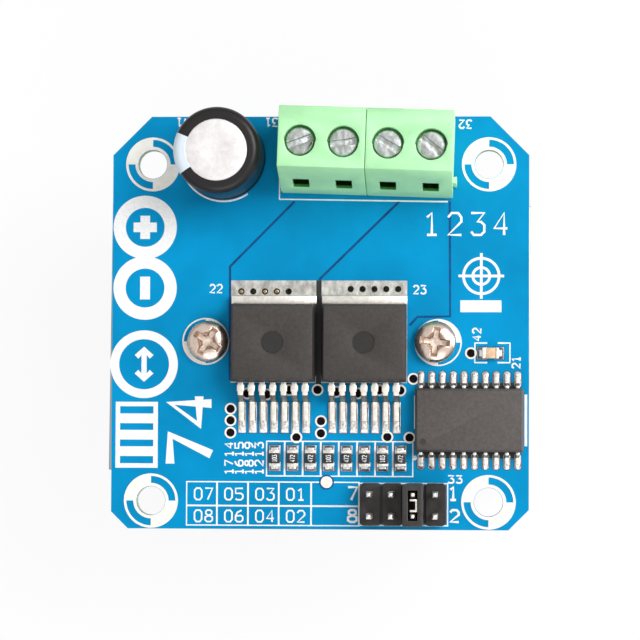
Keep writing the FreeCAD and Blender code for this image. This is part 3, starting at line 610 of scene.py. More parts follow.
def uneven_gloss(surface, size, low, high):
    """Varies the roughness in patches of a size in millimetres."""
    noise = patches(surface, size, (1, 1, 1), Detail=3.0)
    spread = add_node(surface.material, "ShaderNodeMapRange",
                      {"From Min": 0.3, "From Max": 0.7, "To Min": low, "To Max": high},
                      {"Value": noise.outputs["Fac"]})
    surface.material.node_tree.links.new(spread.outputs["Result"], surface.shader.inputs["Roughness"])


# Finishes, each named for its material and how it was made


def solder_mask():
    """Photo-cured epoxy mask on copper, with the routed laminate of glass and epoxy at the board's edges."""
    base = list(bpy.context.scene.module_board.mask_colour)
    surface = new_finish("solder_mask_on_copper", base, 0.0, 0.42, Specular_IOR_Level=0.06)
    material, shader, place = surface
    # The mask pools over the copper in patches of about 12 mm
    mask = cloudy(surface, 12.0, tint(base, 0.90), tint(base, 1.14))
    height = add_node(material, "ShaderNodeSeparateXYZ", {}, {"Vector": place})
    share = add_node(material, "ShaderNodeMapRange", {"From Min": 0.0, "From Max": BOARD_TOP * MM},
                     {"Value": height.outputs["Z"]})
    layers = add_node(material, "ShaderNodeValToRGB", {}, {"Fac": share.outputs["Result"]})
    layers.color_ramp.interpolation = "CONSTANT"
    colour_stops(layers, 0.0, (0, 0, 0, 1), 0.97, (0, 0, 0, 1))
    layers.color_ramp.elements.new(0.03).color = (1, 1, 1, 1)
    # Glass cloth of about 0.2 mm layers shows as fine lines in the cut edge
    bands = {"Scale": 1 / (0.2 * MM * 6.28), "bands_direction": "Z", "Distortion": 2.0, "Detail": 2.0}
    plies = add_node(material, "ShaderNodeTexWave", bands, {"Vector": place})
    cut_edge = add_node(material, "ShaderNodeValToRGB", {}, {"Fac": plies.outputs["Fac"]})
    colour_stops(cut_edge, 0.0, linear("9fb08a"), 1.0, linear("c9cfa9"))
    # A mix node takes its two colours at inputs 6 and 7, and gives their mixture at output 2
    both = add_node(material, "ShaderNodeMix", {"data_type": "RGBA"}, {"Factor": layers.outputs["Color"]})
    material.node_tree.links.new(mask.outputs["Color"], both.inputs[6])
    material.node_tree.links.new(cut_edge.outputs["Color"], both.inputs[7])
    material.node_tree.links.new(both.outputs[2], shader.inputs["Base Color"])
    # The glass weave under the mask has a thread about every 0.5 mm
    grained(surface, 0.5, 0.01, strength=0.4)
    return material


def gap_mask():
    """The same mask where the copper is etched away, so the dark laminate shows through."""
    base = list(bpy.context.scene.module_board.gap_colour)
    surface = new_finish("mask_on_etched_laminate", base, 0.0, 0.45, Specular_IOR_Level=0.16)
    cloudy(surface, 1.5, tint(base, 0.8), tint(base, 1.25))
    return surface.material


def painted_shade_between_parts():
    """Painted shade: the mask coloured near-black in the narrow gap between the drivers and beside the
    buffer's body.
    """
    surface = new_finish("laminate_in_painted_shade", linear("131a20"), 0.0, 0.5)
    cloudy(surface, 0.8, linear("060809"), linear("101619"))
    return surface.material


def stained_solder():
    """Solder that filled a via, browned by its flux."""
    surface = new_finish("solder_browned_by_flux", linear("a98f6b"), 1.0, 0.4)
    cloudy(surface, 0.2, linear("6f5a40"), linear("cdbb9a"), 4.0)
    grained(surface, 0.15, 0.03)
    return surface.material


def marking_ink():
    """Screen-printed epoxy ink, matt, a little thin over the mask."""
    base = list(bpy.context.scene.module_board.ink_colour)
    surface = new_finish("marking_ink_screen_printed", base, 0.0, 0.6)
    cloudy(surface, 0.25, tint(base, 0.90), base, 2.0)
    return surface.material


def levelled_tin():
    """Tin levelled by hot air on copper lands: soft grey-white with ripples and rubbed streaks."""
    surface = new_finish("tin_levelled_by_hot_air", linear("b6b4b0"), 1.0, 0.45)
    cloudy(surface, 0.7, linear("9f9c98"), linear("d6d4ce"), 6.0, (1, 0.6, 1))
    grained(surface, 0.35, 0.03, detail=4.0)
    return surface.material


def ring_tin():
    """Tin on the mounting-hole rings, creamy from flux and handling."""
    surface = new_finish("tin_on_hole_rings", linear("f3f0e8"), 0.0, 0.42)
    cloudy(surface, 1.2, linear("f2ebe2"), linear("fbfbf3"))
    grained(surface, 0.5, 0.02)
    return surface.material


def soldered():
    """Solder that has flowed and set, bright with small dark creases where it froze."""
    surface = new_finish("solder_reflowed", linear("cac6c0"), 1.0, 0.3)
    cloudy(surface, 0.25, linear("b3ada6"), linear("fdfbf7"), 5.0)
    grained(surface, 0.22, 0.05, detail=4.0)
    return surface.material


def via_dark():
    """The shadowed inside of a plated hole, with a trace of copper."""
    surface = new_finish("plated_hole_in_shadow", linear("120c0c"), 0.0, 0.8, Specular_IOR_Level=0.05)
    cloudy(surface, 0.3, linear("0b0708"), linear("21161a"))
    return surface.material


def extruded_aluminium():
    """Plain extruded aluminium, with drawn lines along the fins and a satin surface."""
    base = list(bpy.context.scene.module_cooling.metal_colour)
    surface = new_finish("aluminium_extruded", base, 1.0, 0.42, Specular_Tint=linear("c2c7c9"))
    # Die lines about 0.25 mm apart run along Y
    cloudy(surface, 0.25, tint(base, 0.82), tint(base, 1.06), 3.0, (1, 0.02, 1))
    grained(surface, 0.25, 0.02, (1, 0.02, 1))
    return surface.material


def silicone_pad():
    """Filled silicone sheet, matt grey."""
    surface = new_finish("silicone_pad_filled", linear("8b8f92"), 0.0, 0.8)
    cloudy(surface, 0.3, linear("7d8184"), linear("999da0"))
    return surface.material


def nickel_plate():
    """Nickel-plated steel, cold headed: warm, bright, with small pits and rubbing."""
    base = list(bpy.context.scene.module_cooling.screw_colour)
    surface = new_finish("steel_nickel_plated", base, 1.0, 0.22)
    cloudy(surface, 0.7, tint(base, 0.84), tint(base, 1.05), 3.0)
    grained(surface, 0.6, 0.02)
    uneven_gloss(surface, 0.9, 0.2, 0.36)
    return surface.material


def nickel_recess():
    """The same plating inside the cross recess, rougher because nothing rubs it smooth."""
    surface = new_finish("steel_nickel_in_recess", linear("d9c3b4"), 1.0, 0.5)
    cloudy(surface, 0.4, linear("bba595"), linear("ecdacd"))
    return surface.material


def drawn_aluminium():
    """Deep-drawn pure aluminium of the can's end, nearly white, with faint rub marks."""
    surface = new_finish("aluminium_deep_drawn", linear("e6e3e2"), 1.0, 0.42)
    cloudy(surface, 0.7, linear("e2dfde"), linear("f1eeed"), 6.0)
    grained(surface, 0.3, 0.008)
    return surface.material


def shrink_sleeve():
    """Printed film shrunk on the can: glossy black, with a pale stripe on the side of the negative lead."""
    settings = bpy.context.scene.module_capacitor
    base = list(settings.sleeve_colour)
    surface = new_finish("film_sleeve_shrunk", base, 0.0, 0.33, Specular_IOR_Level=0.3)
    material, shader, place = surface
    middle = (-CAPACITOR[0] * MM, -CAPACITOR[1] * MM, 0)
    centre = add_node(material, "ShaderNodeMapping", {"Location": middle}, {"Vector": place})
    round_it = add_node(material, "ShaderNodeTexGradient", {"gradient_type": "RADIAL"},
                        {"Vector": centre.outputs[0]})
    stripe = add_node(material, "ShaderNodeValToRGB", {}, {"Fac": round_it.outputs["Fac"]})
    stripe.color_ramp.interpolation = "CONSTANT"
    # The gradient wraps round at the left, where the stripe spans its last 7 and its first 9 hundredths
    colour_stops(stripe, 0.0, settings.stripe_colour, 0.93, settings.stripe_colour)
    stripe.color_ramp.elements.new(0.09).color = base
    material.node_tree.links.new(stripe.outputs["Color"], shader.inputs["Base Color"])
    grained(surface, 1.4, 0.02)
    return material


def bung_rubber():
    """Moulded butyl rubber, matt black-brown."""
    surface = new_finish("rubber_moulded", linear("221f1e"), 0.0, 0.75)
    cloudy(surface, 0.4, linear("1b1918"), linear("2b2725"))
    return surface.material


def tinned_copper():
    """Copper lead frame with bright tin, slightly rubbed, from a stamping."""
    base = list(bpy.context.scene.module_packages.tin_colour)
    surface = new_finish("copper_stamped_and_tinned", base, 1.0, 0.36)
    cloudy(surface, 0.4, tint(base, 0.86), tint(base, 1.06), 4.0)
    grained(surface, 0.2, 0.015, detail=3.0)
    return surface.material


def painted_shade_tin():
    """The same tin on the bends and cut sides of the leads, painted darker as shade."""
    surface = new_finish("tin_in_painted_shade_on_bends", linear("8a857e"), 1.0, 0.45)
    cloudy(surface, 0.25, linear("605b55"), linear("b3aea6"), 4.0)
    return surface.material


def painted_shade_solder():
    """Solder on the slopes of its heaps, painted darker as shade."""
    surface = new_finish("solder_in_painted_shade_on_slopes", linear("8f8982"), 1.0, 0.5)
    cloudy(surface, 0.2, linear("645e57"), linear("bdb7ae"), 4.0)
    return surface.material


def green_polyamide():
    """Injection-moulded polyamide: a soft sheen, fine spark-eroded grain and a little light going in."""
    base = list(bpy.context.scene.module_terminals.housing_colour)
    surface = new_finish("polyamide_moulded_green", base, 0.0, 0.5, Subsurface_Weight=0.06,
                         Subsurface_Scale=0.0008)
    cloudy(surface, 3.0, tint(base, 0.95), tint(base, 1.04))
    # Spark-eroded grain is finer than 0.1 mm, and is drawn at 0.16 mm to show
    grained(surface, 0.16, 0.012)
    return surface.material


def window_inside():
    """The same polyamide deep inside the wire windows, where hardly any light gets in."""
    surface = new_finish("polyamide_inside_windows", linear("38843a"), 0.0, 0.7, Specular_IOR_Level=0.1)
    cloudy(surface, 0.6, linear("317634"), linear("429246"))
    return surface.material


def zinc_plate():
    """Zinc-plated clamp screw, dulled, with scratches from the driver."""
    base = list(bpy.context.scene.module_terminals.clamp_colour)
    surface = new_finish("steel_zinc_plated", base, 1.0, 0.38)
    tones = cloudy(surface, 0.6, tint(base, 0.80), linear("d0d9d9"), 5.0, (1, 0.5, 1))
    # Between the two tones the zinc is a plain grey, where its chromate film is thick
    tones.color_ramp.elements.new(0.45).color = linear("a8a8a6")
    grained(surface, 0.12, 0.03, (1, 0.12, 1), detail=4.0)
    uneven_gloss(surface, 0.5, 0.26, 0.5)
    return surface.material


def plated_cage():
    """Clamp cage pressed from plated steel strip."""
    surface = new_finish("steel_strip_plated", linear("a9a79e"), 1.0, 0.4)
    cloudy(surface, 0.8, linear("8f8d86"), linear("bab8b0"))
    grained(surface, 0.3, 0.02)
    return surface.material


def contact_tin():
    """Brass contact bar with a thin tin plating that lets a little yellow through."""
    surface = new_finish("brass_tin_plated", linear("cfc9b4"), 1.0, 0.35)
    cloudy(surface, 0.7, linear("bdb48f"), linear("dcd8c8"))
    return surface.material


def moulding_compound(name, base):
    """Silica-filled epoxy pressed in a fine eroded mould: matt dark grey-brown with a fine speckle."""
    surface = new_finish(name, base, 0.0, 0.6, Specular_IOR_Level=0.3)
    cloudy(surface, 0.35, tint(base, 0.84), tint(base, 1.14), 6.0)
    # The filler grain is under 0.1 mm, and is drawn at 0.14 mm to show
    grained(surface, 0.14, 0.02)
    return surface.material


def driver_mould():
    """The drivers' compound, in the colour that a user sets."""
    return moulding_compound("epoxy_compound_driver", list(bpy.context.scene.module_packages.mould_colour))


def buffer_mould():
    """The buffer's compound, a little lighter."""
    return moulding_compound("epoxy_compound_buffer", list(bpy.context.scene.module_packages.buffer_colour))


def ejector_mark():
    """The drivers' compound where the mould's ejector pin pressed it smooth and darker."""
    return moulding_compound("epoxy_pressed_by_ejector", linear("2a2726"))


def pin_one_mark():
    """The buffer's compound on the floor of the dimple beside pin one."""
    return moulding_compound("epoxy_pressed_by_marker", linear("3f3b39"))


def chip_glaze():
    """Resin-glazed resistor body, black and smooth."""
    surface = new_finish("resistor_glaze", linear("1e1c1d"), 0.0, 0.3)
    cloudy(surface, 0.4, linear("171516"), linear("2b2828"))
    return surface.material


def fired_ceramic():
    """Fired barium titanate ceramic, tan and slightly grainy."""
    surface = new_finish("ceramic_fired", linear("e0b994"), 0.0, 0.55)
    cloudy(surface, 0.3, linear("d3ab84"), linear("ecccaa"))
    return surface.material


def header_plastic(name, base):
    """Moulded glass-filled polyester, dark with a faint sheen."""
    surface = new_finish(name, base, 0.0, 0.42, Specular_IOR_Level=0.35)
    cloudy(surface, 0.8, tint(base, 0.82), tint(base, 1.2))
    grained(surface, 0.2, 0.015)
    return surface.material


def header_black():
    """The pin header's polyester."""
    return header_plastic("polyester_moulded_header", list(bpy.context.scene.module_header.plastic_colour))


def jumper_black():
    """The jumper's polyester, a little lighter than the header's."""
    return header_plastic("polyester_moulded_jumper", list(bpy.context.scene.module_header.jumper_colour))


def pale_floor():
    """White paint, which the camera sees as almost plain white and which still takes the object's shadow."""
    surface = new_finish("floor_painted_white", linear("f2f2f2"), 0.0, 0.8)
    cloudy(surface, 400.0, linear("f0f0f0"), linear("f4f4f4"))
    material = surface.material
    path = add_node(material, "ShaderNodeLightPath")
    seen = add_node(material, "ShaderNodeMath", {"operation": "MAXIMUM"},
                    {0: path.outputs["Is Camera Ray"], 1: path.outputs["Is Glossy Ray"]})
    shown = add_node(material, "ShaderNodeMath", {"operation": "MAXIMUM"},
                     {0: seen.outputs[0], 1: path.outputs["Is Transmission Ray"]})
    glow = add_node(material, "ShaderNodeEmission", {"Color": (1, 1, 1, 1), "Strength": 1.0})
    share = add_node(material, "ShaderNodeMath", {"operation": "MULTIPLY", 1: FLOOR_WHITE_SHARE},
                     {0: shown.outputs[0]})
    both = add_node(material, "ShaderNodeMixShader", {},
                    {0: share.outputs[0], 1: surface.shader.outputs["BSDF"], 2: glow.outputs["Emission"]})
    for node in material.node_tree.nodes:
        if node.bl_idname == "ShaderNodeOutputMaterial":
            material.node_tree.links.new(both.outputs[0], node.inputs["Surface"])
    return material


FINISHES = {}


def finish(maker):
    """The material that one of the functions above makes, made the first time it is asked for."""
    if maker not in FINISHES:
        FINISHES[maker] = maker()
    return FINISHES[maker]


def dress(node, maker):
    """Gives a CAD node a better material in its own slots."""
    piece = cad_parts[node]
    if not piece.material_slots:
        piece.data.materials.append(finish(maker))
    for slot in piece.material_slots:
        slot.material = finish(maker)


# Places and strokes shared by several pieces


def pad_places():
    """The pads of the drivers, the buffer, the resistors and the ceramic capacitor, in four lists."""
    return (
        [(x + (place - 3) * LEAD_PITCH, DRIVER_PAD_ROW) for x in DRIVERS for place in range(7)],
        [(BUFFER[0] + (place - 4.5) * LEAD_PITCH, y) for place in range(10) for y in BUFFER_PAD_ROWS],
        [(RESISTORS_FIRST[0] + place * RESISTOR_PITCH, y) for place in range(8) for y in RESISTOR_PAD_ROWS],
        [(CERAMIC[0] + side * CERAMIC_PAD, CERAMIC[1]) for side in (-1, 1)],
    )


def pin_table():
    """Strokes of the pin table: its box, its divisions and two rows of plain numbers."""
    left, low, right, high = -15.75, -22.86, 4.72, -17.73
    strokes = [box_line(left, low, right, high), [(left, -20.55), (right, -20.55)]]
    strokes += [[(x, low), (x, high)] for x in (-12.14, -8.45, -4.80, -0.96)]
    columns = ((left, "07", "08"), (-12.14, "05", "06"), (-8.45, "03", "04"), (-4.80, "01", "02"))
    for x, upper, lower in columns:
        strokes += numbers(upper, x + 0.95, -19.85, 1.35, wide=1.05)
        strokes += numbers(lower, x + 0.95, -22.45, 1.35, wide=1.05)
    return strokes


def outlines():
    """Strokes round the header, the chip parts, the can, the buffer and the terminal blocks."""
    low, high = -17.01, -12.90
    strokes = [box_line(4.69, -22.80, 15.19, -17.83), box_line(-6.27, low, 11.06, high)]
    strokes += [[(x, low), (x, high)] for x in (-4.12, -1.98, 0.16, 2.30, 4.46, 6.60, 8.70)]
    # Two brackets hold the ceramic capacitor between them
    for x, tip in ((18.36, 19.81), (22.50, 21.05)):
        strokes.append([(tip, -1.19), (x, -1.19), (x, -3.51), (tip, -3.51)])
    strokes.append(arc(CAPACITOR, 5.15, 196, 304, 32))
    strokes.append([(11.29, -7.42), (11.29, -11.38)])
    strokes.append([(-4.88, 25.6), (-4.88, 15.85), (15.13, 15.56)])
    return strokes


def part_numbers():
    """Strokes of the small plain numbers beside the parts."""
    strokes = []
    for low, texts in ((-14.72, ("14", "15", "19", "13")), (-16.82, ("17", "16", "18", "12"))):
        for place, text in enumerate(texts):
            strokes += numbers(text, -10.26 + place * 1.19, low, 0.95, 90, 1.15)
    singles = (("22", -13.10, 4.72, 0), ("23", 11.10, 4.64, 0), ("31", -5.15, 25.5, 180),
               ("41", -15.75, 25.5, 180), ("32", 17.9, 25.25, 180), ("42", 19.05, -0.90, 90))
    for text, left, low, turn in singles:
        strokes += numbers(text, left, low, 0.95, turn)
    strokes += numbers("21", 23.68, -4.15, 0.9, 90)
    strokes += numbers("33", 15.25, -17.74, 0.85, wide=1.25)
    return strokes


def pin_numbers():
    """Strokes of the larger numbers beside the header's end pins and below the terminals' poles."""
    strokes = numbers("7", 3.42, -19.80, 1.50, wide=1.2) + numbers("8", 3.42, -22.40, 1.40, wide=1.2)
    strokes += numbers("1", 15.40, -19.74, 1.50) + numbers("2", 15.50, -22.34, 1.40, wide=1.2)
    for place, text in enumerate("1234"):
        strokes += numbers(text, 12.45 + place * 2.72, 11.62, 2.60)
    return strokes


# Operators, one for each piece or group of like pieces


class MODULE_OT_board(bpy.types.Operator):
    """Finish the circuit board: mask on both faces and cut laminate at the edges"""
    bl_idname = "module.board"
    bl_label = "Circuit board"

    def execute(self, context):
        dress("pcb", solder_mask)
        return {"FINISHED"}


class MODULE_OT_copper_gaps(bpy.types.Operator):
    """Draw the etched gaps between the copper areas under the mask, and strips of painted shade between the
    parts
    """
    bl_idname = "module.copper_gaps"
    bl_label = "Copper gaps"

    def execute(self, context):
        gaps = [
            [(-3.06, 15.6), (-10.73, 7.82), (-10.69, -5.66)],
            [(9.38, 15.6), (-0.14, 6.25)],
            [(15.35, 15.6), (15.42, 1.95), (11.58, 1.88), (10.62, 0.86)],
        ]
        done(line_work(gaps, 0.30, BOARD_TOP + 0.002, 0.01), "copper_gaps", "solder_mask_blue", gap_mask)
        # Painted shade lies dark between the drivers, over their lands' edges, and at the roots of the
        # buffer's leads
        shade_strips = [plate((-0.14, -0.3), (0.66, 13.0), LAYER_BASE, 0.026)]
        shade_strips.append(plate((-0.02, -0.52), (1.16, 9.2), BOARD_TOP, 0.066))
        for y in (BUFFER[1] - 4.10, BUFFER[1] + 4.10):
            shade_strips.append(plate((BUFFER[0], y), (12.0, 0.75), LAYER_BASE, 0.028))
        done(joined(shade_strips), "painted_shade_strips", "solder_mask_blue", painted_shade_between_parts)
        return {"FINISHED"}


class MODULE_OT_lands(bpy.types.Operator):
    """Model the tinned lands, the rings of the mounting holes and the plated vias"""
    bl_idname = "module.lands"
    bl_label = "Lands and vias"

    def execute(self, context):
        rise = context.scene.module_board.land_thickness / MM + SUNK
        clearance_rise = 0.024
        mounting_radii = (1.74, 2.10, 2.93, 3.22)
        screw_radii = (1.88, 2.08, 2.62, 2.79)
        lands = [plate((-5.51, 0.10), (10.12, 12.14), LAYER_BASE, rise)]
        lands.append(plate((5.26, 0.10), (10.16, 12.14), LAYER_BASE, rise))
        for land, (x, y) in zip(lands, TAB_VIAS):
            hole = upright_rod(x - 2 * TAB_VIA_PITCH, y, BOARD_TOP, TAB_VIA_RADIUS, 1.0, 24)
            cut(land, copied(hole, [(place * TAB_VIA_PITCH, 0) for place in range(1, 5)]))
        # Lead pads, and round each of them a rim that the mask leaves free. For each kind of pad: its size,
        # the rounding of its rim and the radius of its corners
        clearances = []
        shapes = (((0.95, 3.66), 0.03, 0.0), ((0.84, 1.95), 0.0, 0.40), ((1.40, 1.10), 0.03, 0.0),
                  ((1.20, 1.45), 0.03, 0.0))
        for places, ((wide, deep), edge, corner) in zip(pad_places(), shapes):
            pad = plate(places[0], (wide, deep), LAYER_BASE, rise, edge, corner)
            lands.append(repeated(pad, places))
            around = (wide + 2 * MASK_CLEARANCE, deep + 2 * MASK_CLEARANCE)
            corner = corner and corner + MASK_CLEARANCE
            rim = plate(places[0], around, LAYER_BASE, clearance_rise, 0.0, corner)
            clearances.append(repeated(rim, places))
        done(joined(lands), "tinned_lands", "tinned_land", levelled_tin)
        done(joined(clearances), "mask_clearances", "solder_mask_blue", gap_mask)

        # Rings of the mounting holes, and smaller ones of the same kind under the heatsink screws
        ring = quartered_ring(MOUNTING_HOLES[0], mounting_radii, LAYER_BASE, rise, (0, 180))
        done(repeated(ring, MOUNTING_HOLES), "mounting_hole_rings", "tinned_land", ring_tin)
        places = [(-13.57, -1.08), (14.02, -1.15)]
        ring = quartered_ring(places[0], screw_radii, LAYER_BASE, rise, (90, 270))
        done(repeated(ring, places), "heatsink_screw_rings", "tinned_land", ring_tin)

        # Signal vias: a thin tinned ring with a dark sunk middle
        ring = raised_ring(SIGNAL_VIAS[0], 0.70, 0.50, LAYER_BASE, rise + 0.02, 24)
        done(repeated(ring, SIGNAL_VIAS), "via_rings", "tinned_land", ring_tin)
        middle = raised_ring(SIGNAL_VIAS[0], 0.52, 0, LAYER_BASE, 0.028, 24)
        done(repeated(middle, SIGNAL_VIAS), "via_middles", "solder", via_dark)

        # Three of the left tab's vias have filled with solder
        x, y = TAB_VIAS[0]
        fills = [(x + place * TAB_VIA_PITCH, y) for place in (-2, 0, 1)]
        profile = [(0, 0.9), (TAB_VIA_RADIUS, 0.9), (TAB_VIA_RADIUS, 1.0), (0.27, 1.3), (0.22, 1.46),
                   (0.1, 1.5), (0, 1.5)]
        done(repeated(lathed(fills[0], profile, 24), fills), "filled_vias", "solder", stained_solder)
        return {"FINISHED"}


class MODULE_OT_markings(bpy.types.Operator):
    """Print the board's marks: outlines, rings, the pin table and plain numbers"""
    bl_idname = "module.markings"
    bl_label = "Printed marks"

    def execute(self, context):
        thick = context.scene.module_board.ink_thickness / MM
        level = BOARD_TOP + 0.004
        flat = level - thick / 2
        plus, minus, arrows, target = (-20.89, 12.49), (-20.86, 5.25), (-20.92, -3.82), (19.10, 6.75)

        # Target mark: two circles and a cross
        x, y = target
        reach = 2.7
        crossed = [arc(target, 2.1, 0, 360, 48), arc(target, 1.0, 0, 360, 32)]
        crossed += [[(x - reach, y), (x + reach, y)], [(x, y - reach), (x, y + reach)]]

        # Arrow with a head at both ends, for its ring
        x, y = arrows
        reach, barb = 1.78, 0.9
        arrow = [[(x, y - reach), (x, y + reach)]]
        for side in (1, -1):
            root = y + side * (reach - barb)
            arrow.append([(x - barb, root), (x, y + side * reach), (x + barb, root)])

        # Strokes and their widths; the board's own two thick numbers read from its left edge
        writing_box = [box_line(-24.0, -15.85, -19.5, -8.55)]
        board_number = numbers("4", -12.85, -11.00, 4.9, 90, 1.15)
        board_number += numbers("7", -12.85, -15.60, 4.9, 90, 1.15)
        marks = [line_work(strokes, width, level, thick) for strokes, width in (
            (pin_table() + outlines(), 0.20), (part_numbers(), 0.20), (pin_numbers(), 0.29), (crossed, 0.32),
            (arrow, 0.62), (writing_box, 0.75), (board_number, 1.05),
        )]

        # Rings round the plus, the minus and the arrow, and the dot at the buffer's pin one
        marks.append(raised_ring(plus, 3.78, 2.32, flat, thick, 64))
        marks.append(raised_ring(minus, 3.78, 2.32, flat, thick - 0.003, 64))
        marks.append(raised_ring(arrows, 4.03, 2.98, flat, thick, 64))
        marks.append(raised_ring((11.28, -14.80), 0.28, 0, flat, thick, 24))

        # Bars: the plus and its two arms, the minus, the writing box's lines and the bar beside the buffer
        x, y = plus
        bars = [(plus, (2.78, 1.15)), ((x, y + 0.9825), (1.15, 0.815)), ((x, y - 0.9825), (1.15, 0.815))]
        bars += [(minus, (1.18, 2.72))] + [((-21.75, low), (4.10, 1.15)) for low in (-10.25, -12.20, -14.15)]
        bars.append(((24.39, -10.32), (0.32, 6.1)))
        marks += [plate(centre, size, flat, thick) for centre, size in bars]
        marks.append(plate((19.06, 3.16), (4.85, 1.40), level - thick, thick * 1.5))
        done(joined(marks), "printed_marks", "silkscreen_white", marking_ink)

        clearance = raised_ring(TEST_LAND, 0.88, 0.60, LAYER_BASE, 0.06, 32)
        done(clearance, "test_land_clearance", "solder_mask_blue", gap_mask)
        land = raised_ring(TEST_LAND, 0.70, 0, LAYER_BASE, 0.09, 32)
        round_edges(land, 0.03 * MM, 60)
        done(land, "test_land", "tinned_land", ring_tin)
        return {"FINISHED"}


class MODULE_OT_heatsink(bpy.types.Operator):
    """Finish the extruded heatsink and its pad"""
    bl_idname = "module.heatsink"
    bl_label = "Heatsink"

    def execute(self, context):
        radius = context.scene.module_cooling.edge_radius
        soft_copy("heatsink", "heatsink_extrusion", "heatsink_aluminium", radius, extruded_aluminium,
                  angle=50)
        dress("thermal_pad", silicone_pad)
        return {"FINISHED"}


class MODULE_OT_heatsink_screws(bpy.types.Operator):
    """Model the two domed cross-recess screws"""
    bl_idname = "module.heatsink_screws"
    bl_label = "Heatsink screws"

    def execute(self, context):
        low, high = (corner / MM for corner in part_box("heatsink_screws"))
        rim, top = BOARD_TOP + 0.85, high.z
        shank, rounding = 1.15, 0.08
        profile = [(0, low.z), (shank, low.z), (shank, BOARD_TOP), (PAN_RADIUS - rounding, BOARD_TOP),
                   (PAN_RADIUS, BOARD_TOP + rounding)]
        # The dome rises steeply from the rim and flattens toward the top
        for step in range(9):
            climb = math.radians(step * 10)
            height = rim + (top - rim) * math.sin(climb) ** PAN_SHAPE
            profile.append((PAN_RADIUS * math.cos(climb) ** PAN_SHAPE, height))
        profile.append((0, top))
        heads = []
        for x, y, turn in HEATSINK_SCREWS:
            screw = lathed((x, y), profile, 72)
            # Two crossed wings that narrow downward
            wing = block(x, y, top - 0.1, (4.5, 1.0, 2.2))
            edit(wing, is_underside)
            resize_about(x, y, 0.6, 0.6)
            choose(wing)
            bpy.ops.object.duplicate(linked=False)
            across = bpy.context.object
            turned_about(across, 90, (x, y))
            # The wings meet in a square pit that narrows downward, with its corners along them
            pit = upright_rod(x, y, top - 0.2, 1.90, 2.0, 4)
            edit(pit, is_underside)
            resize_about(x, y, 0.5, 0.5)
            for cutter in (wing, across, pit):
                cut(screw, cutter)
            edit(screw)
            bpy.ops.mesh.remove_doubles(threshold=5e-5)
            turned_about(screw, turn, (x, y))
            round_edges(screw, 0.05 * MM, 40)
            heads.append(screw)

        def in_recess(centre, normal):
            reach = min(math.dist((centre.x, centre.y), place[:2]) for place in HEATSINK_SCREWS)
            share = 1 - min(reach / PAN_RADIUS, 1) ** (2 / PAN_SHAPE)
            dome = rim + (top - rim) * share ** (PAN_SHAPE / 2)
            return reach < 2.1 and rim - 0.3 < centre.z < dome - 0.13

        screws = done(joined(heads), "domed_heatsink_screws", "screw_nickel", nickel_plate, nickel_recess,
                      smooth=38)
        second_finish(screws, in_recess)
        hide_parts("heatsink_screws")
        return {"FINISHED"}


class MODULE_OT_capacitor(bpy.types.Operator):
    """Spin the can and its sleeve, with the shoulder, the bead and the pale stripe"""
    bl_idname = "module.capacitor"
    bl_label = "Capacitor"

    def execute(self, context):
        steps = context.scene.module_capacitor.lathe_steps
        can_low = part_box("capacitor_can")[0].z / MM
        low, top = (corner.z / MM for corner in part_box("capacitor_sleeve"))
        radius = (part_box("capacitor_sleeve")[1].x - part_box("capacitor_sleeve")[0].x) / MM / 2
        inner = radius - 0.1
        lip = radius - 1.45
        bead = can_low + 1.9
        groove = [(0, -0.75), (0.08, -0.5), (0.32, -0.18), (0.38, 0), (0.32, 0.18), (0.08, 0.5), (0, 0.75)]
        side = [(radius, low)] + [(radius - depth, bead + rise) for depth, rise in groove]
        bend = 0.9
        shoulder = arc((radius - bend, top - bend), bend, 0, 90, 6)
        edge = [(lip + 0.05, top), (lip, top - 0.05)]
        wall = inner - 0.02
        inside = [(lip, top - 0.12), (radius - 0.95, top - 0.12), (radius - 0.3, top - 0.4),
                  (wall, top - 1.0), (wall, bead + 0.8), (radius - 0.46, bead + 0.2),
                  (radius - 0.46, bead - 0.2), (wall, bead - 0.8), (wall, low), (radius, low)]
        sleeve = lathed(CAPACITOR, side + shoulder + edge + inside, steps)
        done(sleeve, "shrunk_sleeve", "sleeve_black", shrink_sleeve, smooth=40)
        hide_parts("capacitor_sleeve")
        can = lathed(CAPACITOR, [
            (0, can_low), (inner - 0.6, can_low), (inner - 0.12, can_low + 0.3), (inner - 0.1, bead - 0.8),
            (radius - 0.52, bead - 0.2), (radius - 0.52, bead + 0.2), (inner - 0.1, bead + 0.8),
            (inner - 0.1, top - 1.1), (inner - 0.3, top - 0.6), (inner - 0.7, top - 0.24),
            (inner - 1.0, top - 0.15), (1.6, top - 0.15), (1.4, top - 0.17), (0, top - 0.17)], steps)
        done(can, "drawn_can", "can_aluminium", drawn_aluminium, smooth=40)
        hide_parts("capacitor_can")
        dress("capacitor_bung", bung_rubber)
        dress("capacitor_leads", tinned_copper)
        return {"FINISHED"}


class MODULE_OT_terminals(bpy.types.Operator):
    """Soften the two moulded terminal blocks and finish their contacts"""
    bl_idname = "module.terminals"
    bl_label = "Terminal blocks"

    def execute(self, context):
        radius = context.scene.module_terminals.edge_radius
        for side in ("left", "right"):
            soft_copy("terminal_housing_" + side, "moulded_block_" + side, "housing_green", radius,
                      green_polyamide, window_inside, second=in_window)
        for pole in range(1, 5):
            dress(f"terminal_contact_{pole}", contact_tin)
        return {"FINISHED"}


class MODULE_OT_clamps(bpy.types.Operator):
    """Soften the slotted clamp screws and finish their cages"""
    bl_idname = "module.clamps"
    bl_label = "Clamp screws and cages"

    def execute(self, context):
        for pole in range(1, 5):
            soft_copy(f"terminal_screw_{pole}", f"clamp_screw_{pole}", "clamp_screw_zinc", 0.07 * MM,
                      zinc_plate, body=f"screw_{pole}")
            dress(f"terminal_cage_{pole}", plated_cage)
        return {"FINISHED"}


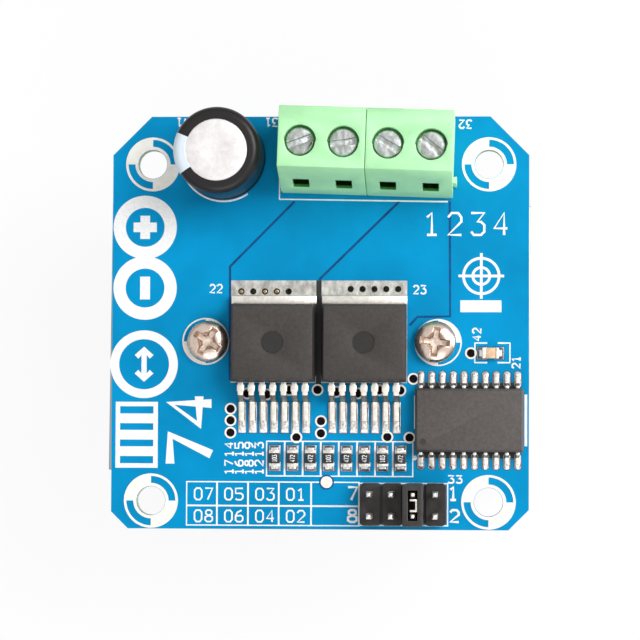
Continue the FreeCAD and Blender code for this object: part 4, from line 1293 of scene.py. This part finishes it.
class MODULE_OT_drivers(bpy.types.Operator):
    """Soften the driver packages, their tabs and their formed leads"""
    bl_idname = "module.drivers"
    bl_label = "Power drivers"

    def execute(self, context):
        radius = context.scene.module_packages.edge_radius
        for side, x in zip(("left", "right"), DRIVERS):
            soft_copy("driver_body_" + side, "driver_package_" + side, "mould_black", radius, driver_mould,
                      angle=20)
            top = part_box("driver_body_" + side)[1].z / MM
            mark = raised_ring((x, -1.30), 1.27, 0, top - 0.09, 0.03, 48)
            done(mark, "ejector_mark_" + side, "mould_black", ejector_mark)
            soft_copy("driver_tab_" + side, "driver_plate_" + side, "tab_tinned", 0.1 * MM, tinned_copper)
            # The leads' bends and sides take the tin painted darker as shade
            soft_copy("driver_leads_" + side, "formed_leads_" + side, "tinned_lead", 0.06 * MM,
                      tinned_copper, painted_shade_tin, second=is_slope)
        return {"FINISHED"}


class MODULE_OT_buffer(bpy.types.Operator):
    """Soften the buffer package and its gull-wing leads"""
    bl_idname = "module.buffer"
    bl_label = "Buffer"

    def execute(self, context):
        low, high = (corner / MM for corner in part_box("buffer_body"))
        across, along = high.x - low.x, high.y - low.y
        draft = 0.25
        foot = (across - 2 * draft, along - 2 * draft)
        half = (high.z - low.z) / 2
        # Both halves of the mould draw away from the parting line, where the package is widest
        body = plate(BUFFER, foot, low.z, half)
        edit(body, is_top)
        resize_about(*BUFFER, across / foot[0], along / foot[1])
        draw_up(half)
        resize_about(*BUFFER, foot[0] / across, foot[1] / along)
        round_edges(body, context.scene.module_packages.edge_radius, 20)
        # The round dimple beside pin one
        x, y = low.x + PIN_ONE_INSET[0], low.y + PIN_ONE_INSET[1]
        cut(body, upright_rod(x, y, high.z + 0.07, 0.40, 0.3, 32))
        done(body, "buffer_package", "mould_black", buffer_mould, pin_one_mark)
        second_finish(body, lambda centre, normal: 0.06 < high.z - centre.z < 0.1 and is_top(centre, normal))
        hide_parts("buffer_body")
        # The gull wings' bends and sides take the tin painted darker as shade
        soft_copy("buffer_leads", "buffer_gull_wings", "tinned_lead", 0.04 * MM, tinned_copper, painted_shade_tin,
                  second=is_slope)
        return {"FINISHED"}


class MODULE_OT_chips(bpy.types.Operator):
    """Soften the chip resistors and the ceramic capacitor, with plain numbers on the resistors"""
    bl_idname = "module.chips"
    bl_label = "Chip parts"

    def execute(self, context):
        strokes = []
        for place in range(8):
            node = f"resistor_{place + 1}"
            soft_copy(node, "glazed_" + node, "resistor_black", 0.04 * MM, chip_glaze)
            x = RESISTORS_FIRST[0] + place * RESISTOR_PITCH
            text = "472" if place % 3 else "103"
            strokes += numbers(text, x + 0.27, RESISTORS_FIRST[1] - 0.42, 0.52, 90, 0.62)
        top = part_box("resistor_1")[1].z / MM
        code = line_work(strokes, 0.09, top + 0.004, 0.02)
        done(code, "resistor_numbers", "silkscreen_white", marking_ink)
        soft_copy("resistor_ends", "resistor_end_caps", "chip_end_tin", 0.05 * MM, soldered)
        soft_copy("ceramic_capacitor", "fired_capacitor", "ceramic_beige", 0.06 * MM, fired_ceramic)
        soft_copy("ceramic_capacitor_ends", "capacitor_end_caps", "chip_end_tin", 0.08 * MM, tinned_copper)
        return {"FINISHED"}


class MODULE_OT_header(bpy.types.Operator):
    """Soften the pin header's body and its square pins"""
    bl_idname = "module.header"
    bl_label = "Pin header"

    def execute(self, context):
        body = softened("header_housing", 0.08 * MM)
        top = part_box("header_housing")[1].z / MM
        # Narrow grooves part the columns on top
        for column in (-1, 0, 1):
            cut(body, block(HEADER[0] + column * HEADER_PITCH, HEADER[1], top, (0.36, 6.0, 0.9)))
        done(body, "header_body", "header_black", header_black)
        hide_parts("header_housing")
        soft_copy("header_pins", "square_pins", "tinned_lead", 0.05 * MM, tinned_copper)
        return {"FINISHED"}


class MODULE_OT_jumper(bpy.types.Operator):
    """Soften the jumper's shell and its sprung clip"""
    bl_idname = "module.jumper"
    bl_label = "Jumper"

    def execute(self, context):
        soft_copy("jumper_housing", "jumper_shell", "jumper_black", 0.08 * MM, jumper_black, body="jumper")
        soft_copy("jumper_clip", "jumper_spring", "jumper_clip", 0.04 * MM, tinned_copper, body="jumper")
        return {"FINISHED"}


class MODULE_OT_solder(bpy.types.Operator):
    """Model the solder under the flat leads and round the leads below the board"""
    bl_idname = "module.solder"
    bl_label = "Solder"

    def execute(self, context):
        base = BOARD_TOP + context.scene.module_board.land_thickness / MM - 0.01
        drivers, buffer, resistors, ceramic = pad_places()
        drivers = [(x, DRIVER_SOLDER_ROW) for x, y in drivers]
        # For each group: size in plan, height, the share of the size that is left on top, and corner radius
        groups = (
            (drivers, (0.86, 3.4), 0.17, 0.70, 0.0), (buffer, (0.80, 1.88), 0.18, 0.72, 0.38),
            (resistors, (1.34, 1.04), 0.36, 0.62, 0.15), (ceramic, (1.14, 1.40), 0.5, 0.62, 0.15),
        )
        heaps = []
        for places, size, height, share, corner in groups:
            x, y = places[0]
            heap = plate((x, y), size, base, height * 0.45, 0.0, corner)
            edit(heap, is_top)
            resize_about(x, y, share + 0.12, 0.5 + share / 2)
            draw_up(height * 0.55)
            resize_about(x, y, 0.8, share)
            round_edges(heap, 0.03 * MM, 20)
            heaps.append(repeated(heap, places))
        heaps = done(joined(heaps), "solder_on_lands", "solder", soldered, painted_shade_solder, smooth=60)
        # The heaps' steep sides take the solder painted darker as shade
        second_finish(heaps, lambda centre, normal: abs(normal.z) < 0.7)

        # Joints below the board: a cone of solder round each lead
        along, aside = math.cos(TERMINAL_TURN), math.sin(TERMINAL_TURN)
        row = [(TERMINAL_ROW[0] + pole * along - CONTACT_LEG * aside,
                TERMINAL_ROW[1] + pole * aside + CONTACT_LEG * along) for pole in POLES]
        pins = [(HEADER[0] + (column - 1.5) * HEADER_PITCH, HEADER[1] + side * HEADER_PITCH / 2)
                for column in range(4) for side in (-1, 1)]
        leads = [(CAPACITOR[0] + side * 2.5, CAPACITOR[1]) for side in (-1, 1)]
        joints = []
        for places, hole in ((leads, 0.9), (pins, 1.0), (row, 1.5)):
            foot = hole / 2 + 0.4
            tip = hole / 2 + 0.08
            profile = [(0, 0.02), (foot, 0.02), (foot, -0.06), (foot * 0.62 + tip * 0.38, -0.25),
                       (tip + 0.06, -0.60), (tip - 0.05, -0.92), (tip * 0.55, -1.0), (0, -1.02)]
            joints.append(repeated(lathed(places[0], profile, 32), places))
        done(joined(joints), "solder_joints_below", "solder", soldered, smooth=60)
        return {"FINISHED"}


class MODULE_OT_stage(bpy.types.Operator):
    """Lay the pale floor, light the module softly and place the camera"""
    bl_idname = "module.stage"
    bl_label = "Floor, light and camera"

    def execute(self, context):
        settings = context.scene.module_stage
        deselect()
        bpy.ops.mesh.primitive_plane_add(size=settings.floor_size, location=(0, 0, FLOOR_HEIGHT - 1e-5))
        floor = bpy.context.object
        settle(floor)
        edit(floor)
        bpy.ops.mesh.subdivide(number_cuts=3)
        bpy.ops.object.mode_set(mode="OBJECT")
        floor.name = "floor"
        floor.data.materials.append(finish(pale_floor))

        world = bpy.data.worlds.new("studio")
        context.scene.world = world
        world.use_nodes = True
        world.node_tree.nodes.clear()
        path = add_node(world, "ShaderNodeLightPath")
        seen = add_node(world, "ShaderNodeMath", {"operation": "MAXIMUM"},
                        {0: path.outputs["Is Camera Ray"], 1: path.outputs["Is Transmission Ray"]})
        plain = add_node(world, "ShaderNodeBackground",
                         {"Color": (1, 1, 1, 1), "Strength": settings.sky_strength})
        white = add_node(world, "ShaderNodeBackground", {"Color": (1, 1, 1, 1), "Strength": 1.0})
        # Metal and gloss see a white ceiling that falls off to grey walls
        direction = add_node(world, "ShaderNodeTexCoord")
        height = add_node(world, "ShaderNodeSeparateXYZ", {}, {"Vector": direction.outputs["Generated"]})
        fall = add_node(world, "ShaderNodeValToRGB", {}, {"Fac": height.outputs["Z"]})
        colour_stops(fall, 0.05, linear("85888a"), 0.55, linear("f4f4f4"))
        room = add_node(world, "ShaderNodeBackground", {"Strength": 1.0}, {"Color": fall.outputs["Color"]})
        gloss = add_node(world, "ShaderNodeMixShader", {},
                         {0: path.outputs["Is Glossy Ray"], 1: plain.outputs[0], 2: room.outputs[0]})
        both = add_node(world, "ShaderNodeMixShader", {},
                        {0: seen.outputs[0], 1: gloss.outputs[0], 2: white.outputs[0]})
        add_node(world, "ShaderNodeOutputWorld", {}, {"Surface": both.outputs[0]})

        # Each lamp's place and width in metres, and its power; all face the module
        lamps = (
            ("key", (0.46, 0.24, 0.64), 0.42, settings.key_power),
            ("fill", (0.10, -0.55, 0.50), 0.50, settings.fill_power),
            ("side", (0.60, 0.05, 0.12), 0.25, settings.side_power),
        )
        for name, place, size, power in lamps:
            deselect()
            bpy.ops.object.light_add(type="AREA", location=place)
            lamp = bpy.context.object
            lamp.name = name
            lamp.data.shape = "SQUARE"
            lamp.data.size = size
            lamp.data.energy = power
            lamp.rotation_euler = (-Vector(place)).to_track_quat("-Z", "Y").to_euler()

        bpy.ops.object.camera_add(location=[value * MM for value in CAMERA_PLACE])
        camera = bpy.context.object
        camera.rotation_euler = Euler(CAMERA_TURN).to_matrix().transposed().to_euler()
        camera.data.lens = settings.lens
        camera.data.sensor_width = 36.0
        camera.data.clip_start = 0.01
        camera.data.clip_end = 20.0
        context.scene.camera = camera
        context.scene.view_settings.view_transform = "Standard"
        return {"FINISHED"}


class MODULE_PT_panel(bpy.types.Panel):
    """Lists the module's settings and its pieces, in the order in which they are made"""
    bl_idname = "MODULE_PT_panel"
    bl_label = "Driver module"
    bl_space_type = "VIEW_3D"
    bl_region_type = "UI"
    bl_category = "Driver module"

    def draw(self, context):
        for group, kind in SETTINGS.items():
            for name in kind.__annotations__:
                self.layout.prop(getattr(context.scene, group), name)
        for operator in PIECES:
            self.layout.operator(operator.bl_idname)


PIECES = (
    MODULE_OT_board, MODULE_OT_copper_gaps, MODULE_OT_lands, MODULE_OT_markings, MODULE_OT_heatsink,
    MODULE_OT_heatsink_screws, MODULE_OT_capacitor, MODULE_OT_terminals, MODULE_OT_clamps, MODULE_OT_drivers,
    MODULE_OT_buffer, MODULE_OT_chips, MODULE_OT_header, MODULE_OT_jumper, MODULE_OT_solder, MODULE_OT_stage,
)
SETTINGS = {
    "module_board": BoardSettings, "module_cooling": CoolingSettings, "module_capacitor": CapacitorSettings,
    "module_terminals": TerminalSettings, "module_packages": PackageSettings,
    "module_header": HeaderSettings, "module_stage": StageSettings,
}


def register():
    for kind in (*SETTINGS.values(), *PIECES, MODULE_PT_panel):
        bpy.utils.register_class(kind)
    for name, kind in SETTINGS.items():
        setattr(bpy.types.Scene, name, PointerProperty(type=kind))


def unregister():
    for name in SETTINGS:
        delattr(bpy.types.Scene, name)
    for kind in reversed((*SETTINGS.values(), *PIECES, MODULE_PT_panel)):
        bpy.utils.unregister_class(kind)


def main():
    """Makes every piece in order."""
    register()
    for operator in PIECES:
        group, name = operator.bl_idname.split(".")
        getattr(getattr(bpy.ops, group), name)()
    deselect()


if __name__ == "__main__":
    main()
